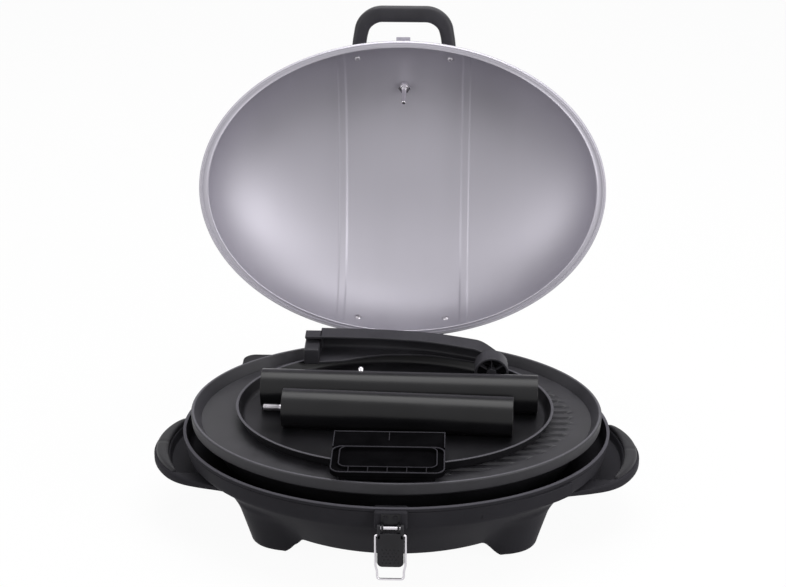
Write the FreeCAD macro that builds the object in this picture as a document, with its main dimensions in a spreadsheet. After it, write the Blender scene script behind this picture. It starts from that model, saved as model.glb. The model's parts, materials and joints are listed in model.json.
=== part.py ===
import FreeCAD, Part
import math
import os
import re

import Sketcher
from FreeCAD import Placement, Rotation, Vector

# Electric barbecue grill with a hinged dome lid, stood open, its stand packed on the grill plate.
# Millimetres. The origin is the mouth of the stand socket, on the surface that the feet stand on.
# +X runs along the grill's length, +Y from the latch to the hinge, +Z up.

SIZES = {
    # grill plate
    "plate_half_width": 252,
    "plate_half_depth": 187,
    "plate_depth": 12,
    "plate_thickness": 7,
    "plate_rim": 6,
    "plate_skirt": 14.5,
    "plate_skirt_draft": 1,
    "plate_foot_inset": 12,
    "plate_rise": 26,
    "groove_pitch": 14.5,
    "groove_width": 8,
    "groove_depth": 3,
    "groove_start": 8,
    "groove_border": 24,
    "drain_radius": 5,
    # base shell
    "lip_gap": 10,
    "lip_height": 112,
    "base_wall": 3,
    "band_draft": 4.5,
    "band_height": 84,
    "bend_share_x": 0.855,
    "bend_share_y": 0.934,
    "bend_height": 66,
    "floor_share_x": 0.73,
    "floor_share_y": 0.81,
    "floor_height": 28,
    "ledge_height": 22,
    "ledge_drop": 5,
    "ledge_proud": 4,
    "ledge_start": 100,
    "ledge_end": 211,
    # foot lobes and pads
    "lobe_inset_x": 54.8,
    "lobe_inset_y": 73.6,
    "lobe_lean_x": 4,
    "lobe_lean_y": 6,
    "lobe_top_radius": 45.5,
    "lobe_low_radius": 36.5,
    "lobe_low_height": 10,
    "lobe_round": 10.5,
    "foot_pad_radius": 20,
    "foot_pad_height": 3,
    # side ears and grips
    "ear_half_width": 106,
    "ear_half_depth": 98,
    "ear_inset": 67,
    "ear_bottom": 66,
    "ear_thickness": 13.5,
    "recess_radius": 136,
    "recess_inset": 50,
    "recess_half_depth": 68,
    "recess_depth": 10,
    "recess_wall": 2,
    "grip_height": 6,
    "grip_edge": 1.5,
    "grip_half_depth": 66,
    # stand socket
    "tube_radius": 24,
    "tube_wall": 1.5,
    "socket_clearance": 0.25,
    "socket_wall": 3.75,
    "socket_depth": 49,
    "socket_cap": 3,
    "socket_flange": 16,
    "socket_flange_height": 3,
    "socket_hole_gap": 0.4,
    "screw_radius": 2.5,
    "screw_head_radius": 4.2,
    "screw_head_height": 2.2,
    # reflector and heater
    "reflector_wall": 1.2,
    "reflector_inset": 14,
    "reflector_floor_inset": 33,
    "reflector_floor": 58,
    "reflector_flange": 5,
    "post_radius": 7,
    "post_inset_x": 46.5,
    "post_inset_y": 36,
    "element_radius": 4,
    "element_drop": 16,
    "element_wall_gap": 38,
    "element_side_gap": 24,
    "element_left_share": 0.4075,
    "element_inner_share": 0.37,
    "element_inner_inset": 46,
    "element_tail_bend": 20,
    "clip_width": 10,
    "clip_thickness": 6,
    # mains socket
    "socket_inset": 86,
    "terminal_spacing": 30,
    "tail_inside": 16,
    "pin_radius": 2.5,
    "pin_reach": 32,
    "block_width": 46,
    "block_height": 12,
    "block_inside": 6,
    "block_reach": 17,
    "window_gap": 0.5,
    "sleeve_radius": 4.5,
    "sleeve_bore": 3.2,
    "sleeve_inside": 40,
    "sleeve_reach": 24,
    "earth_width": 8,
    "earth_thickness": 1.2,
    "earth_gap": 4,
    "shroud_width": 62,
    "shroud_wall": 4,
    "shroud_reach": 40,
    "shroud_corner": 16,
    "shroud_bottom": 84,
    "shroud_top": 114.5,
    "shroud_lid_gap": 4,
    # latch
    "latch_boss_half_width": 19,
    "latch_boss_proud": 6,
    "latch_boss_height": 22,
    "latch_boss_drop": 2,
    "bracket_half_width": 11,
    "bracket_thickness": 1.5,
    "bracket_ear": 2.5,
    "bracket_ear_half_width": 10.5,
    "latch_pin_radius": 2,
    "latch_pin_clearance": 0.06,
    "latch_pin_reach": 5,
    "latch_pin_drop": 19,
    "lever_width": 30.5,
    "lever_length": 50,
    "lever_thickness": 3.5,
    "lever_knuckle_radius": 4.2,
    "lever_knuckle_width": 4,
    "lever_corner": 6,
    "lever_plate_drop": 5.5,
    "lever_boss_back": 2,
    "lever_dot_radius": 0.9,
    "lever_dot_height": 0.5,
    "lever_dot_pitch": 4.5,
    "lever_dot_rise": 6,
    "bail_pivot_set": 1.1,
    "bail_pivot_drop": 9,
    "bail_wire_radius": 1.4,
    "bail_hole_clearance": 0.08,
    "bail_top_half_width": 17.3,
    "bail_low_half_width": 15.4,
    "bail_length": 59,
    "bail_side": 41,
    "bail_jog": 7,
    "bail_corner": 4,
    "bail_toe": 5,
    "bail_toe_bend": 1.6,
    # hinge
    "lid_open": 98,
    "hinge_reach": 16,
    "hinge_rise": 3,
    "hinge_pin_radius": 3,
    "hinge_pin_clearance": 0.06,
    "hinge_barrel_radius": 6.5,
    "hinge_half_width": 82,
    "hinge_outer_lug": 24,
    "hinge_lug_gap": 1.5,
    "hinge_inner_lug": 20,
    "hinge_boss_proud": 6,
    "hinge_boss_depth": 14,
    "hinge_boss_height": 24,
    "hinge_boss_drop": 2,
    "hinge_plate_thickness": 3,
    "hinge_plate_height": 21,
    "hinge_screw_x": 59.5,
    "hinge_base_screw_x": 20,
    "hinge_screw_rise": 37,
    "lid_plate_height": 42,
    "hinge_arm_height": 12,
    # lid
    "lid_gap": 0.8,
    "lid_over_x": 1,
    "lid_inset_y": 2,
    "lid_wall": 1.5,
    "lid_depth": 120,
    "lid_bead": 3,
    "lid_bead_height": 6,
    "dome_side_power": 2.4,
    "dome_crown_power": 2.2,
    "lid_plate_thickness": 4,
    "handle_foot_x": 61,
    "handle_half_width": 68,
    "handle_leg": 18,
    "handle_shoulder": 66,
    "handle_bend_x": 58,
    "handle_bend": 99,
    "handle_grip_x": 40,
    "handle_reach": 39.5,
    "handle_height": 64.5,
    "handle_bar": 21,
    "handle_depth": 18,
    "handle_length": 115,
    "handle_round": 5,
    "handle_screw_length": 16,
    "catch_half_width": 9,
    "catch_thickness": 1.5,
    "catch_rise": 9,
    "catch_height": 17,
    "catch_margin": 2,
    "catch_shelf": 2.5,
    "catch_lip": 1.2,
    "catch_rivet_x": 5,
    "rivet_radius": 1.6,
    "rivet_head": 2.8,
    "rivet_head_height": 1,
    # thermometer
    "thermo_y": -124,
    "thermo_radius": 26,
    "thermo_height": 14,
    "thermo_wall": 2,
    "thermo_glass": 2,
    "thermo_dial": 1,
    "thermo_neck_radius": 6,
    "thermo_neck_length": 10,
    "thermo_stem_radius": 3,
    "thermo_stem_wall": 0.7,
    "thermo_stem_length": 32,
    "thermo_nut_radius": 8,
    "thermo_nut_height": 5,
    "needle_length": 18,
    "needle_rest": 225,
    "needle_thickness": 0.8,
    "needle_width": 2.4,
    "spindle_radius": 1,
    "spindle_clearance": 0.08,
    # stand pan
    "pan_half_width": 195,
    "pan_half_depth": 149,
    "pan_x": -2,
    "pan_y": 0,
    "pan_turn": -1.3,
    "pan_height": 15.7,
    "pan_wall": 1.5,
    "pan_lean": 5,
    "pan_lip": 2,
    "pan_seat_gap": 0.3,
    "pan_hole_radius": 4.5,
    # stand tubes
    "long_tube_length": 340,
    "long_tube_x": 3.5,
    "long_tube_y": 15,
    "long_tube_turn": -1.35,
    "short_tube_length": 278.5,
    "short_tube_x": 3,
    "short_tube_y": -40,
    "short_tube_turn": -3,
    "tube_seat_gap": 0.3,
    "plug_depth": 14,
    "plug_inset": 3,
    "plug_gap": 0.05,
    "stud_radius": 4,
    "stud_reach": 24,
    "button_x": -48,
    "button_lean": 24,
    "button_radius": 3.5,
    "button_reach": 5,
    "button_clearance": 0.08,
    "button_skirt_radius": 5.5,
    "button_skirt_height": 2,
    "button_spring_reach": 60,
    "button_spring_lift": 1,
    "button_spring_width": 8,
    "button_spring_thickness": 0.6,
    # stand foot
    "foot_x_start": -120,
    "foot_x_end": 112,
    "foot_back_y": 152.5,
    "foot_curve": 320,
    "foot_curve_x": -32,
    "foot_wall": 3,
    "foot_flange": 29,
    "foot_low_flange": 45,
    "foot_height_left": 30,
    "foot_height_right": 29,
    "foot_seat_gap": 0.3,
    "foot_arch_radius": 160,
    "foot_arch_x": 20,
    "foot_arch_depth": 15.5,
    "foot_tongue_length": 18,
    "foot_tongue_drop": 6,
    "hub_x": 118,
    "hub_radius": 21.5,
    "hub_front_y": 70,
    "hub_back_y": 96,
    "hub_neck_height": 24,
    "hub_neck_start_y": 84,
    "hub_wall": 3,
    "hub_depth": 14,
    "hub_rib": 2,
    # drip tray
    "tray_x": -5,
    "tray_half_width": 66,
    "tray_front_over": 7,
    "tray_length": 97,
    "tray_flange": 36,
    "tray_height": 7.2,
    "tray_wall": 1.5,
    "tray_corner": 12,
    "tray_margin": 10,
    "tray_front_margin": 15,
    "tray_cup_corner": 8,
    "tray_cup_drop": 0.6,
    "tray_seat_gap": 0.3,
    "tray_apron": 9,
    "tray_rib": 1.2,
    "tray_rib_count": 5,
}

doc = FreeCAD.newDocument("grill")
sheet = doc.addObject("Spreadsheet::Sheet", "Sizes")
for row, (alias, value) in enumerate(SIZES.items(), start=1):
    sheet.set(f"A{row}", str(value))
    sheet.setAlias(f"A{row}", alias)
doc.recompute()

SHEET_NAME = re.compile(r"\b[a-z][a-z_0-9]*\b(?!\s*\()")
pieces = {}


def in_sheet(formula):
    """The same formula with every name read from the sheet."""
    return SHEET_NAME.sub(lambda found: "Sizes." + found.group(0), str(formula))


def size(alias):
    return float(sheet.get(alias))


def tie(item, **formulas):
    """Bind properties to formulas of the sheet's names; two underscores stand for a dot."""
    for path, formula in formulas.items():
        item.setExpression(path.replace("__", "."), in_sheet(formula))
    return item


def place(item, x="0", y="0", z="0"):
    return tie(item, Placement__Base__x=x, Placement__Base__y=y, Placement__Base__z=z)


def turned(item, axis, angle):
    """Turn an object about its own origin before it is placed."""
    item.Placement = Placement(Vector(), Rotation(Vector(*axis), 1))
    return tie(item, Placement__Rotation__Angle=angle)


def box(name, length, width, height, x="0", y="0", z="0"):
    item = doc.addObject("Part::Box", name)
    tie(item, Length=length, Width=width, Height=height)
    return place(item, x, y, z)


def mid_box(name, half_length, width, height, x="0", y="0", z="0"):
    """A box whose middle along X is at x."""
    return box(name, f"2 * ({half_length})", width, height, f"{x} - ({half_length})", y, z)


def rod(name, radius, length, x="0", y="0", z="0", along="z"):
    """A round bar that starts at the point and runs along an axis."""
    item = doc.addObject("Part::Cylinder", name)
    tie(item, Radius=radius, Height=length)
    if along == "y":
        item.Placement = Placement(Vector(), Rotation(Vector(1, 0, 0), -90))
    if along == "x":
        item.Placement = Placement(Vector(), Rotation(Vector(0, 1, 0), 90))
    return place(item, x, y, z)


def ball_cap(name, radius, x, y, z):
    item = doc.addObject("Part::Sphere", name)
    tie(item, Radius=radius)
    return place(item, x, y, z)


def oval(name, half_width, half_depth, z, x="0", y="0"):
    item = doc.addObject("Part::Ellipse", name)
    tie(item, MajorRadius=half_width, MinorRadius=half_depth)
    return place(item, x, y, z)


def ring(name, radius, z, x="0", y="0"):
    item = doc.addObject("Part::Circle", name)
    tie(item, Radius=radius)
    return place(item, x, y, z)


def loft(name, sections, smooth=False):
    item = doc.addObject("Part::Loft", name)
    item.Sections = sections
    item.Solid = True
    item.Ruled = not smooth
    return item


def oval_stack(name, levels, smooth=False, x="0", y="0"):
    """A solid through ovals, each given as half width, half depth and height."""
    sections = [oval(f"{name}_oval{n}", a, b, z, x, y) for n, (a, b, z) in enumerate(levels)]
    return loft(name, sections, smooth)


def fuse(name, *items):
    item = doc.addObject("Part::MultiFuse", name)
    item.Shapes = list(items)
    return item


def cut(name, base, *tools):
    for n, tool in enumerate(tools):
        last = n == len(tools) - 1
        item = doc.addObject("Part::Cut", name if last else f"{name}_step{n}")
        item.Base = base
        item.Tool = tool
        item.Refine = False
        base = item
    return base


def join(name, base, *items):
    """Add solids to a base one after another."""
    for n, added in enumerate(items):
        last = n == len(items) - 1
        item = doc.addObject("Part::Fuse", name if last else f"{name}_step{n}")
        item.Base = base
        item.Tool = added
        item.Refine = False
        base = item
    return base


def common(name, *items):
    item = doc.addObject("Part::MultiCommon", name)
    item.Shapes = list(items)
    return item


def group(name, *items):
    item = doc.addObject("Part::Compound", name)
    item.Links = list(items)
    return item


def own_shape(name, shape):
    item = doc.addObject("Part::Feature", name)
    item.Shape = shape
    return item


def piece(label, item):
    """Keep a finished sub-part under its name."""
    pieces[label] = item
    return item


def origin_plane(body, role):
    return next(f for f in body.Origin.OriginFeatures if f.Role == role)


def new_sketch(body, role, name, offset="0"):
    sketch = body.newObject("Sketcher::SketchObject", name)
    sketch.AttachmentSupport = (origin_plane(body, role), [""])
    sketch.MapMode = "FlatFace"
    tie(sketch, AttachmentOffset__Base__z=offset)
    return sketch


def sketch_circle(sketch, radius):
    """A circle about the sketch's origin."""
    edge = sketch.addGeometry(Part.Circle(Vector(), Vector(0, 0, 1), 10), False)
    sketch.addConstraint(Sketcher.Constraint("Coincident", edge, 3, -1, 1))
    row = sketch.addConstraint(Sketcher.Constraint("Radius", edge, 10))
    sketch.setExpression(f"Constraints[{row}]", in_sheet(radius))


def sketch_rectangle(sketch, width, height):
    """A rectangle about the sketch's origin."""
    corners = [Vector(-9, -9), Vector(9, -9), Vector(9, 9), Vector(-9, 9)]
    sides = [
        sketch.addGeometry(Part.LineSegment(corners[n], corners[(n + 1) % 4]), False) for n in range(4)
    ]
    for n in range(4):
        sketch.addConstraint(Sketcher.Constraint("Coincident", sides[n], 2, sides[(n + 1) % 4], 1))
        kind = "Vertical" if n % 2 else "Horizontal"
        sketch.addConstraint(Sketcher.Constraint(kind, sides[n]))
    sketch.addConstraint(Sketcher.Constraint("Symmetric", sides[0], 1, sides[2], 1, -1, 1))
    wide = sketch.addConstraint(Sketcher.Constraint("DistanceX", sides[0], 1, sides[0], 2, 18))
    high = sketch.addConstraint(Sketcher.Constraint("DistanceY", sides[1], 1, sides[1], 2, 18))
    sketch.setExpression(f"Constraints[{wide}]", in_sheet(width))
    sketch.setExpression(f"Constraints[{high}]", in_sheet(height))


def pad(body, sketch, name, length):
    feature = body.newObject("PartDesign::Pad", name)
    feature.Profile = sketch
    tie(feature, Length=length)
    return feature


def rounded_block(name, width, depth, height, corner, x, y, z):
    """An upright block with rounded corners; x and y are its middle, z its underside."""
    body = doc.addObject("PartDesign::Body", f"{name}_body")
    sketch = new_sketch(body, "XY_Plane", f"{name}_outline")
    sketch_rectangle(sketch, width, depth)
    block = pad(body, sketch, f"{name}_pad", height)
    doc.recompute()
    fillet = body.newObject("PartDesign::Fillet", f"{name}_corners")
    fillet.Base = (block, [
        f"Edge{n}" for n, edge in enumerate(block.Shape.Edges, start=1)
        if abs(edge.tangentAt(edge.FirstParameter).z) > 0.9
    ])
    tie(fillet, Radius=corner)
    return place(body, x, y, z)


# Shared places, as formulas of the sheet's names.
LIP_A = "(plate_half_width + lip_gap)"
LIP_B = "(plate_half_depth + lip_gap)"
PLATE_TOP = "(lip_height + plate_rise)"
PLATE_FLOOR = "(lip_height + plate_rise - plate_depth)"
PLATE_UNDER = "(lip_height + plate_rise - plate_depth - plate_thickness)"
ELEMENT_Z = "(lip_height + plate_rise - plate_depth - plate_thickness - element_drop)"
EAR_X = "(plate_half_width + lip_gap - ear_inset)"
EAR_TOP = "(ear_bottom + ear_thickness)"
TUB_A = f"({LIP_A} * floor_share_x)"
TUB_B = f"({LIP_B} * floor_share_y)"
LOBE_X = f"({TUB_A} - lobe_inset_x)"
LOBE_Y = f"({TUB_B} - lobe_inset_y)"
POST_X = f"({LOBE_X} - post_inset_x)"
POST_Y = f"({LOBE_Y} - post_inset_y)"
SOCKET_OUTER = "(tube_radius + socket_clearance + socket_wall)"
LATCH_FACE = "(-(plate_half_depth + lip_gap + latch_boss_proud))"
LATCH_PIN_Y = "(-(plate_half_depth + lip_gap + latch_boss_proud + latch_pin_reach))"
LATCH_PIN_Z = "(lip_height - latch_pin_drop)"
BAIL_PIVOT_Z = "(lip_height - latch_pin_drop - bail_pivot_drop)"
HINGE_Y = "(plate_half_depth + lip_gap + hinge_reach)"
HINGE_Z = "(lip_height + hinge_rise)"
LID_A = "(plate_half_width + lip_gap + lid_over_x)"
LID_B = "(plate_half_depth + lip_gap - lid_inset_y)"
LID_Z = "(lip_height + lid_gap)"
PAN_Z = "(lip_height + plate_rise - plate_depth + pan_seat_gap)"
PAN_FLOOR = "(lip_height + plate_rise - plate_depth + pan_seat_gap + pan_wall)"
PAN_TOP = "(lip_height + plate_rise - plate_depth + pan_seat_gap + pan_height)"
TUBE_Z = "(lip_height + plate_rise - plate_depth + pan_seat_gap + pan_wall + tube_seat_gap + tube_radius)"

BASE_LEVELS = [
    (LIP_A, LIP_B, "lip_height"),
    (f"{LIP_A} - band_draft", f"{LIP_B} - band_draft", "band_height"),
    (f"{LIP_A} * bend_share_x", f"{LIP_B} * bend_share_y", "bend_height"),
    (TUB_A, TUB_B, "floor_height"),
]
CORNERS = [(-1, -1), (1, -1), (1, 1), (-1, 1)]


def number(formula):
    """A formula's value with the sheet's present sizes."""
    return float(sheet.evalExpression(in_sheet(formula)))


def opposite(name, item):
    """The same piece at the other end, turned half round about Z."""
    copy = group(name, item)
    copy.Placement = Placement(Vector(), Rotation(Vector(0, 0, 1), 180))
    return copy


def rounded_path(points, radii):
    """A wire of straight runs whose corners are arcs, each of its own radius."""
    edges = []
    start = points[0]
    for before, corner, after, radius in zip(points, points[1:], points[2:], radii):
        into = (corner - before).normalize()
        out = (after - corner).normalize()
        half_turn = into.getAngle(out) / 2
        reach = radius * math.tan(half_turn)
        first = corner - into * reach
        last = corner + out * reach
        inward = (out - into).normalize()
        middle = corner + inward * (radius / math.cos(half_turn) - radius)
        edges.append(Part.LineSegment(start, first).toShape())
        edges.append(Part.Arc(first, middle, last).toShape())
        start = last
    edges.append(Part.LineSegment(start, points[-1]).toShape())
    return Part.Wire(edges)


def wire_solid(path, radius):
    """A round bar along a wire."""
    first = path.OrderedEdges[0]
    start = first.valueAt(first.FirstParameter)
    heading = first.tangentAt(first.FirstParameter)
    section = Part.Wire([Part.makeCircle(radius, start, heading)])
    return path.makePipeShell([section], True, False)


def screws(name, radius, length, places, along, head_first=True):
    """A group of like screws, each a head on a shank, at places given as formulas."""
    made = []
    for n, (x, y, z) in enumerate(places):
        shank = rod(f"{name}_shank{n}", radius, length, x, y, z, along)
        offset = "screw_head_height"
        spot = {"x": x, "y": y, "z": z}
        if head_first:
            spot[along] = f"{spot[along]} - {offset}"
        else:
            spot[along] = f"{spot[along]} + {length}"
        head = rod(f"{name}_head{n}", "screw_head_radius", offset, spot["x"], spot["y"], spot["z"], along)
        made.append(fuse(f"{name}_screw{n}", shank, head))
    return group(name, *made)


# Base shell: a tub with an upper band, side ears, four hollow foot lobes and bosses for latch and hinge.
def lobe(name, side_x, side_y, inset, bottom):
    """One tapered foot lobe, or its hollow when an inset is given."""
    x_low, y_low = f"{side_x} * {LOBE_X}", f"{side_y} * {LOBE_Y}"
    x_top = f"{side_x} * ({LOBE_X} + lobe_lean_x)"
    y_top = f"{side_y} * ({LOBE_Y} + lobe_lean_y)"
    sections = [
        ring(f"{name}_r0", f"lobe_low_radius - lobe_round - {inset}", bottom, x_low, y_low),
        ring(f"{name}_r1", f"lobe_low_radius - {inset}", "lobe_low_height", x_low, y_low),
        ring(f"{name}_r2", f"lobe_top_radius - {inset}", "bend_height - base_wall", x_top, y_top),
    ]
    return loft(name, sections)


def inset_levels(levels, inset):
    return [(f"{a} - {inset}", f"{b} - {inset}", z) for a, b, z in levels]


outer_tub = oval_stack("outer_tub", BASE_LEVELS)
inner_levels = inset_levels(BASE_LEVELS, "base_wall")
inner_levels[0] = (*inner_levels[0][:2], "lip_height + base_wall")
inner_levels[-1] = (*inner_levels[-1][:2], "floor_height + base_wall")
inner_tub = oval_stack("inner_tub", inner_levels)

right_ear = oval_stack(
    "right_ear",
    [
        ("ear_half_width", "ear_half_depth", "ear_bottom"),
        ("ear_half_width", "ear_half_depth", EAR_TOP),
    ],
    x=EAR_X,
)
RECESS_X = f"({EAR_X} - recess_inset)"
right_recess = cut(
    "right_recess",
    common(
        "right_recess_slot",
        rod("right_recess_round", "recess_radius", "2 * recess_depth", RECESS_X, "0",
            f"{EAR_TOP} - recess_depth"),
        box("right_recess_ends", f"2 * {LIP_A}", "2 * recess_half_depth", "2 * recess_depth",
            "0", "-recess_half_depth", f"{EAR_TOP} - recess_depth"),
    ),
    oval_stack("right_recess_inside", inset_levels(BASE_LEVELS, "(-recess_wall)")),
)
left_ear = opposite("left_ear", right_ear)
left_recess = opposite("left_recess", right_recess)

latch_boss = mid_box("latch_boss", "latch_boss_half_width", "latch_boss_proud + lip_gap", "latch_boss_height",
                     "0", LATCH_FACE, "lip_height - latch_boss_drop - latch_boss_height")
hinge_boss = mid_box("hinge_boss", "hinge_half_width + hinge_plate_thickness", "hinge_boss_depth",
                     "hinge_boss_height", "0", f"{LIP_B} + hinge_boss_proud - hinge_boss_depth",
                     "lip_height - hinge_boss_drop - hinge_boss_height")
ledge_oval = oval_stack("ledge_oval", [
    (f"{LIP_A} + ledge_proud", LIP_B, "lip_height - ledge_drop - ledge_height"),
    (f"{LIP_A} + ledge_proud", LIP_B, "lip_height - ledge_drop"),
])
ledge = common("ledge", ledge_oval, box("ledge_span", "ledge_end - ledge_start", LIP_B, "lip_height",
                                        "ledge_start", f"-{LIP_B}", "0"))

lobes = [lobe(f"lobe{n}", sx, sy, "0", "foot_pad_height") for n, (sx, sy) in enumerate(CORNERS)]
hollows = [
    lobe(f"hollow{n}", sx, sy, "base_wall", "foot_pad_height + base_wall")
    for n, (sx, sy) in enumerate(CORNERS)
]
posts = [
    rod(f"post{n}", "post_radius", "reflector_floor - floor_height", f"{sx} * {POST_X}", f"{sy} * {POST_Y}",
        "floor_height")
    for n, (sx, sy) in enumerate(CORNERS)
]
socket_hole = rod("socket_hole", f"{SOCKET_OUTER} + socket_hole_gap", "floor_height", "0", "0",
                  "floor_height - base_wall")
SOCKET_X = f"(socket_inset - {LIP_A})"
SOCKET_WALL = f"({LIP_B} * sqrt(1 - pow({SOCKET_X} / {LIP_A}; 2)))"
SLEEVE_START = f"({SOCKET_WALL} - sleeve_inside)"
block_window = mid_box("block_window", "block_width / 2 + window_gap", "sleeve_inside + sleeve_reach",
                       "block_height + 2 * window_gap", SOCKET_X, SLEEVE_START,
                       f"{ELEMENT_Z} - block_height / 2 - window_gap")

# Stand socket: a closed sleeve for the stand's tube, flanged under the base floor.
socket_screws = screws(
    "socket_screws", "screw_radius", "socket_flange_height + base_wall + screw_head_height",
    [
        (f"{sx} * ({SOCKET_OUTER} + socket_flange / 2) * cos(45)",
         f"{sy} * ({SOCKET_OUTER} + socket_flange / 2) * sin(45)",
         "floor_height - socket_flange_height")
        for sx, sy in CORNERS
    ],
    "z",
)
socket_solid = fuse(
    "socket_solid",
    rod("socket_body", SOCKET_OUTER, "socket_depth + socket_cap"),
    rod("socket_flange_disc", f"{SOCKET_OUTER} + socket_flange", "socket_flange_height",
        "0", "0", "floor_height - socket_flange_height"),
)
socket_bore = rod("socket_bore", "tube_radius + socket_clearance", "socket_depth")
piece("stand_socket", cut("stand_socket", socket_solid, socket_bore, socket_screws))
piece("socket_screws", socket_screws)

# Heat reflector: a dished steel pan whose flange carries the grill plate.
REFLECTOR_A = "(plate_half_width - reflector_inset)"
REFLECTOR_B = "(plate_half_depth - reflector_inset)"
OUTER_BEND = f"({SOCKET_WALL} - element_wall_gap)"
LEFT_BEND = f"({OUTER_BEND} * element_left_share)"
INNER_BEND = f"({OUTER_BEND} * element_inner_share)"
OUTER_X = f"({REFLECTOR_A} - element_side_gap - {OUTER_BEND})"
reflector_levels = [
    (f"{REFLECTOR_A} - reflector_floor_inset", f"{REFLECTOR_B} - reflector_floor_inset", "reflector_floor"),
    (REFLECTOR_A, REFLECTOR_B, PLATE_UNDER),
]
reflector_hollow = [
    (f"{reflector_levels[0][0]} - reflector_wall", f"{reflector_levels[0][1]} - reflector_wall",
     "reflector_floor + reflector_wall"),
    (f"{REFLECTOR_A} - reflector_wall", f"{REFLECTOR_B} - reflector_wall", PLATE_UNDER),
]
reflector_rim = oval_stack("reflector_rim", [
    (f"{REFLECTOR_A} + reflector_flange", f"{REFLECTOR_B} + reflector_flange",
     f"{PLATE_UNDER} - reflector_wall"),
    (f"{REFLECTOR_A} + reflector_flange", f"{REFLECTOR_B} + reflector_flange", PLATE_UNDER),
])
reflector_screws = screws(
    "reflector_screws", "screw_radius", "post_radius * 2",
    [
        (f"{sx} * {POST_X}", f"{sy} * {POST_Y}", "reflector_floor + reflector_wall - post_radius * 2")
        for sx, sy in CORNERS
    ],
    "z", head_first=False,
)
tail_window = mid_box("tail_window", "block_width / 2", "2 * sleeve_inside + sleeve_reach", "block_height",
                      SOCKET_X, f"{SLEEVE_START} - sleeve_inside", f"{ELEMENT_Z} - block_height / 2")
piece("heat_reflector", cut(
    "heat_reflector",
    fuse("reflector_solid", oval_stack("reflector_outer", reflector_levels), reflector_rim),
    oval_stack("reflector_inner", reflector_hollow), reflector_screws, tail_window,
))
piece("reflector_screws", reflector_screws)

base_tub = cut("base_tub", outer_tub, inner_tub)
for n, (solid, hollow) in enumerate(zip(lobes, hollows)):
    foot_cup = cut(f"foot_cup{n}", solid, inner_tub, hollow)
    base_tub = join(f"base_with_foot{n}", cut(f"base_open{n}", base_tub, hollow), foot_cup)
base_tub = join(
    "base_with_bosses", base_tub,
    cut("right_ear_rim", right_ear, inner_tub, right_recess),
    cut("left_ear_rim", left_ear, inner_tub, left_recess),
    *[cut(f"outside_{item.Name}", item, inner_tub) for item in (latch_boss, hinge_boss, ledge)],
    *posts,
)


# Heating element: one bent tube, an outer loop and an inner return, with both tails at the mains socket.
LOW_RUN = f"(2 * {LEFT_BEND} - {OUTER_BEND})"
HIGH_RUN = f"({LOW_RUN} + 2 * {INNER_BEND})"
TAIL_Y = f"({SOCKET_WALL} - tail_inside)"


def element_shape():
    z = number(ELEMENT_Z)
    outer, left, inner = number(OUTER_BEND), number(LEFT_BEND), number(INNER_BEND)
    tail = size("element_tail_bend")
    right_x = number(OUTER_X)
    left_x = -right_x
    inner_x = right_x - size("element_inner_inset")
    left_tail = number(SOCKET_X) - size("terminal_spacing") / 2
    right_tail = left_tail + size("terminal_spacing")
    low_run = number(LOW_RUN)
    high_run = number(HIGH_RUN)
    tail_y = number(TAIL_Y)

    def point(x, y):
        return Vector(x, y, z)

    def half_round(x, y, radius, side, bulge):
        """Half a circle that starts on one side in Y and bulges one way in X."""
        start = point(x, y + radius * side)
        end = point(x, y - radius * side)
        return Part.Arc(start, point(x + radius * bulge, y), end).toShape()

    def quarter(x, y, radius):
        slant = radius * math.cos(math.radians(45))
        return Part.Arc(point(x, y - radius), point(x - slant, y - slant), point(x - radius, y)).toShape()

    def run(x0, y0, x1, y1):
        return Part.LineSegment(point(x0, y0), point(x1, y1)).toShape()

    edges = [run(right_tail, tail_y, right_tail, outer + tail)]
    edges.append(quarter(right_tail + tail, outer + tail, tail))
    edges.append(run(right_tail + tail, outer, right_x, outer))
    edges.append(half_round(right_x, 0, outer, 1, 1))
    edges.append(run(right_x, -outer, left_x, -outer))
    edges.append(half_round(left_x, left - outer, left, -1, -1))
    edges.append(run(left_x, low_run, inner_x, low_run))
    edges.append(half_round(inner_x, low_run + inner, inner, -1, 1))
    edges.append(run(inner_x, high_run, left_tail + tail, high_run))
    edges.append(quarter(left_tail + tail, high_run + tail, tail))
    edges.append(run(left_tail, high_run + tail, left_tail, tail_y))
    return wire_solid(Part.Wire(Part.__sortEdges__(edges)), size("element_radius"))


heating_element = piece("heating_element", own_shape("heating_element", element_shape()))
clip_places = [
    ("0", OUTER_BEND), ("0", f"-{OUTER_BEND}"), (f"-{LEFT_BEND}", LOW_RUN), (f"-{LEFT_BEND}", HIGH_RUN),
]
clips = [
    box(f"clip{n}", "clip_width", "clip_thickness", f"{ELEMENT_Z} - reflector_floor - reflector_wall",
        f"{x} - clip_width / 2", f"{y} - clip_thickness / 2", "reflector_floor + reflector_wall")
    for n, (x, y) in enumerate(clip_places)
]
piece("heater_clips", cut("heater_clips", group("clip_posts", *clips), heating_element))

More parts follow.
